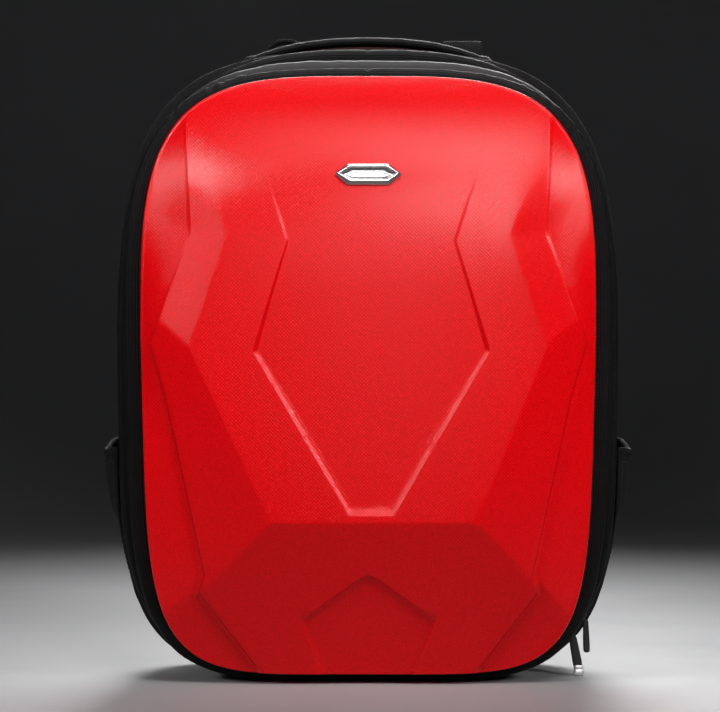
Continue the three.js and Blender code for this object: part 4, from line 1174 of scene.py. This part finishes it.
# Studio. A pale seamless floor that rises behind the bag, soft lights above, behind and to both sides, small
# lights that only show as reflections on the facets, and a level camera straight in front of the shell.
FLOOR = Sizes(half=4000, back=1500, rise=900, high=3000)
CAMERA = Sizes(x=-5.36, z=218.3, away=1700, lens=127)
LIGHTS = [  # name, place, aim, size, spread in degrees, watts
    ("key", (110, -820, 1470), (0, -80, 300), (700, 450), 45, 0.35),
    ("second_key", (350, -1050, 1300), (0, -80, 300), (600, 450), 45, 0.64),
    ("left_box", (-1080, -1000, 760), (0, 0, 250), (150, 300), 40, 0.6),
    ("right_box", (1080, -1000, 760), (0, 0, 250), (190, 360), 40, 0.68),
    ("left_glow", (-718, -1222, 1292), (-110, -80, 345), (120, 120), 45, 0.8),
    ("right_glow", (340, -1500, 935), (60, -80, 320), (200, 200), 45, 0.5),
    ("left_bevel_glow", (1100, -678, 920), (-45, -60, 170), (150, 150), 40, 0.3),
    ("right_bevel_glow", (-1100, -678, 920), (45, -60, 170), (150, 150), 40, 0.2),
    ("hip_glow", (-886, -1340, 566), (-105, -90, 285), (120, 120), 40, 0.12),
    ("top_glow", (0, 250, 1500), (0, 0, 400), (800, 400), 60, 1.15),
    ("front_glow", (40, -1500, 510), (0, -80, 290), (420, 260), 60, 0.24),
    ("rear", (120, 1500, 1050), (0, 60, 230), (900, 600), 65, 4.5),
    ("rear_fill", (0, 1500, 260), (0, 80, 240), (460, 380), 50, 1.4),
]
DIFFUSE_ONLY = ("left_box", "right_box", "rear_fill")  # these never show as reflections
SKY = {"Color": (0.9, 0.92, 0.95, 1), "Strength": 0.03}


def floor_mesh():
    rows = [(-FLOOR.half, 0), (FLOOR.back, 0)]
    for angle in np.radians(np.linspace(0, 90, 13)[1:]):
        rows.append((FLOOR.back + FLOOR.rise * math.sin(angle), FLOOR.rise * (1 - math.cos(angle))))
    rows.append((FLOOR.back + FLOOR.rise, FLOOR.high))
    points = [(x * MM, y * MM, z * MM) for y, z in rows for x in (-FLOOR.half, FLOOR.half)]
    return new_mesh(points, [(2 * k, 2 * k + 1, 2 * k + 3, 2 * k + 2) for k in range(len(rows) - 1)])


pale_floor = finished(
    "pale_floor", ((0.38, 0.38, 0.39), (0.42, 0.42, 0.43)), cloud=(4, 0, 1), gloss=(9, 0.5, 0.6),
    Specular_IOR_Level=0.25,
)
scene = bpy.context.scene
floor = bpy.data.objects.new("floor", floor_mesh())
floor.data.shade_smooth()
floor.data.materials.append(pale_floor)
scene.collection.objects.link(floor)
for name, place, aim, size, spread, watts in LIGHTS:
    lamp = bpy.data.lights.new(name, "AREA")
    lamp.shape = "RECTANGLE"
    lamp.size, lamp.size_y = (length * MM for length in size)
    lamp.spread = math.radians(spread)
    lamp.energy = watts
    light = bpy.data.objects.new(name, lamp)
    scene.collection.objects.link(light)
    light.visible_diffuse = not name.endswith("_glow")
    light.visible_glossy = name not in DIFFUSE_ONLY
    light.visible_camera = False
    light.location = Vector(place) * MM
    light.rotation_euler = (Vector(aim) - Vector(place)).to_track_quat("-Z", "Y").to_euler()
scene.world = bpy.data.worlds.new("studio")
scene.world.use_nodes = True
for label, value in SKY.items():
    scene.world.node_tree.nodes["Background"].inputs[label].default_value = value
scene.view_settings.view_transform = "Standard"
lens = bpy.data.cameras.new("camera")
lens.lens = CAMERA.lens
lens.sensor_width = 36
scene.camera = bpy.data.objects.new("camera", lens)
scene.collection.objects.link(scene.camera)
scene.camera.location = (CAMERA.x * MM, RIM_Y - CAMERA.away * MM, CAMERA.z * MM)
scene.camera.rotation_euler = (math.pi / 2, 0, 0)
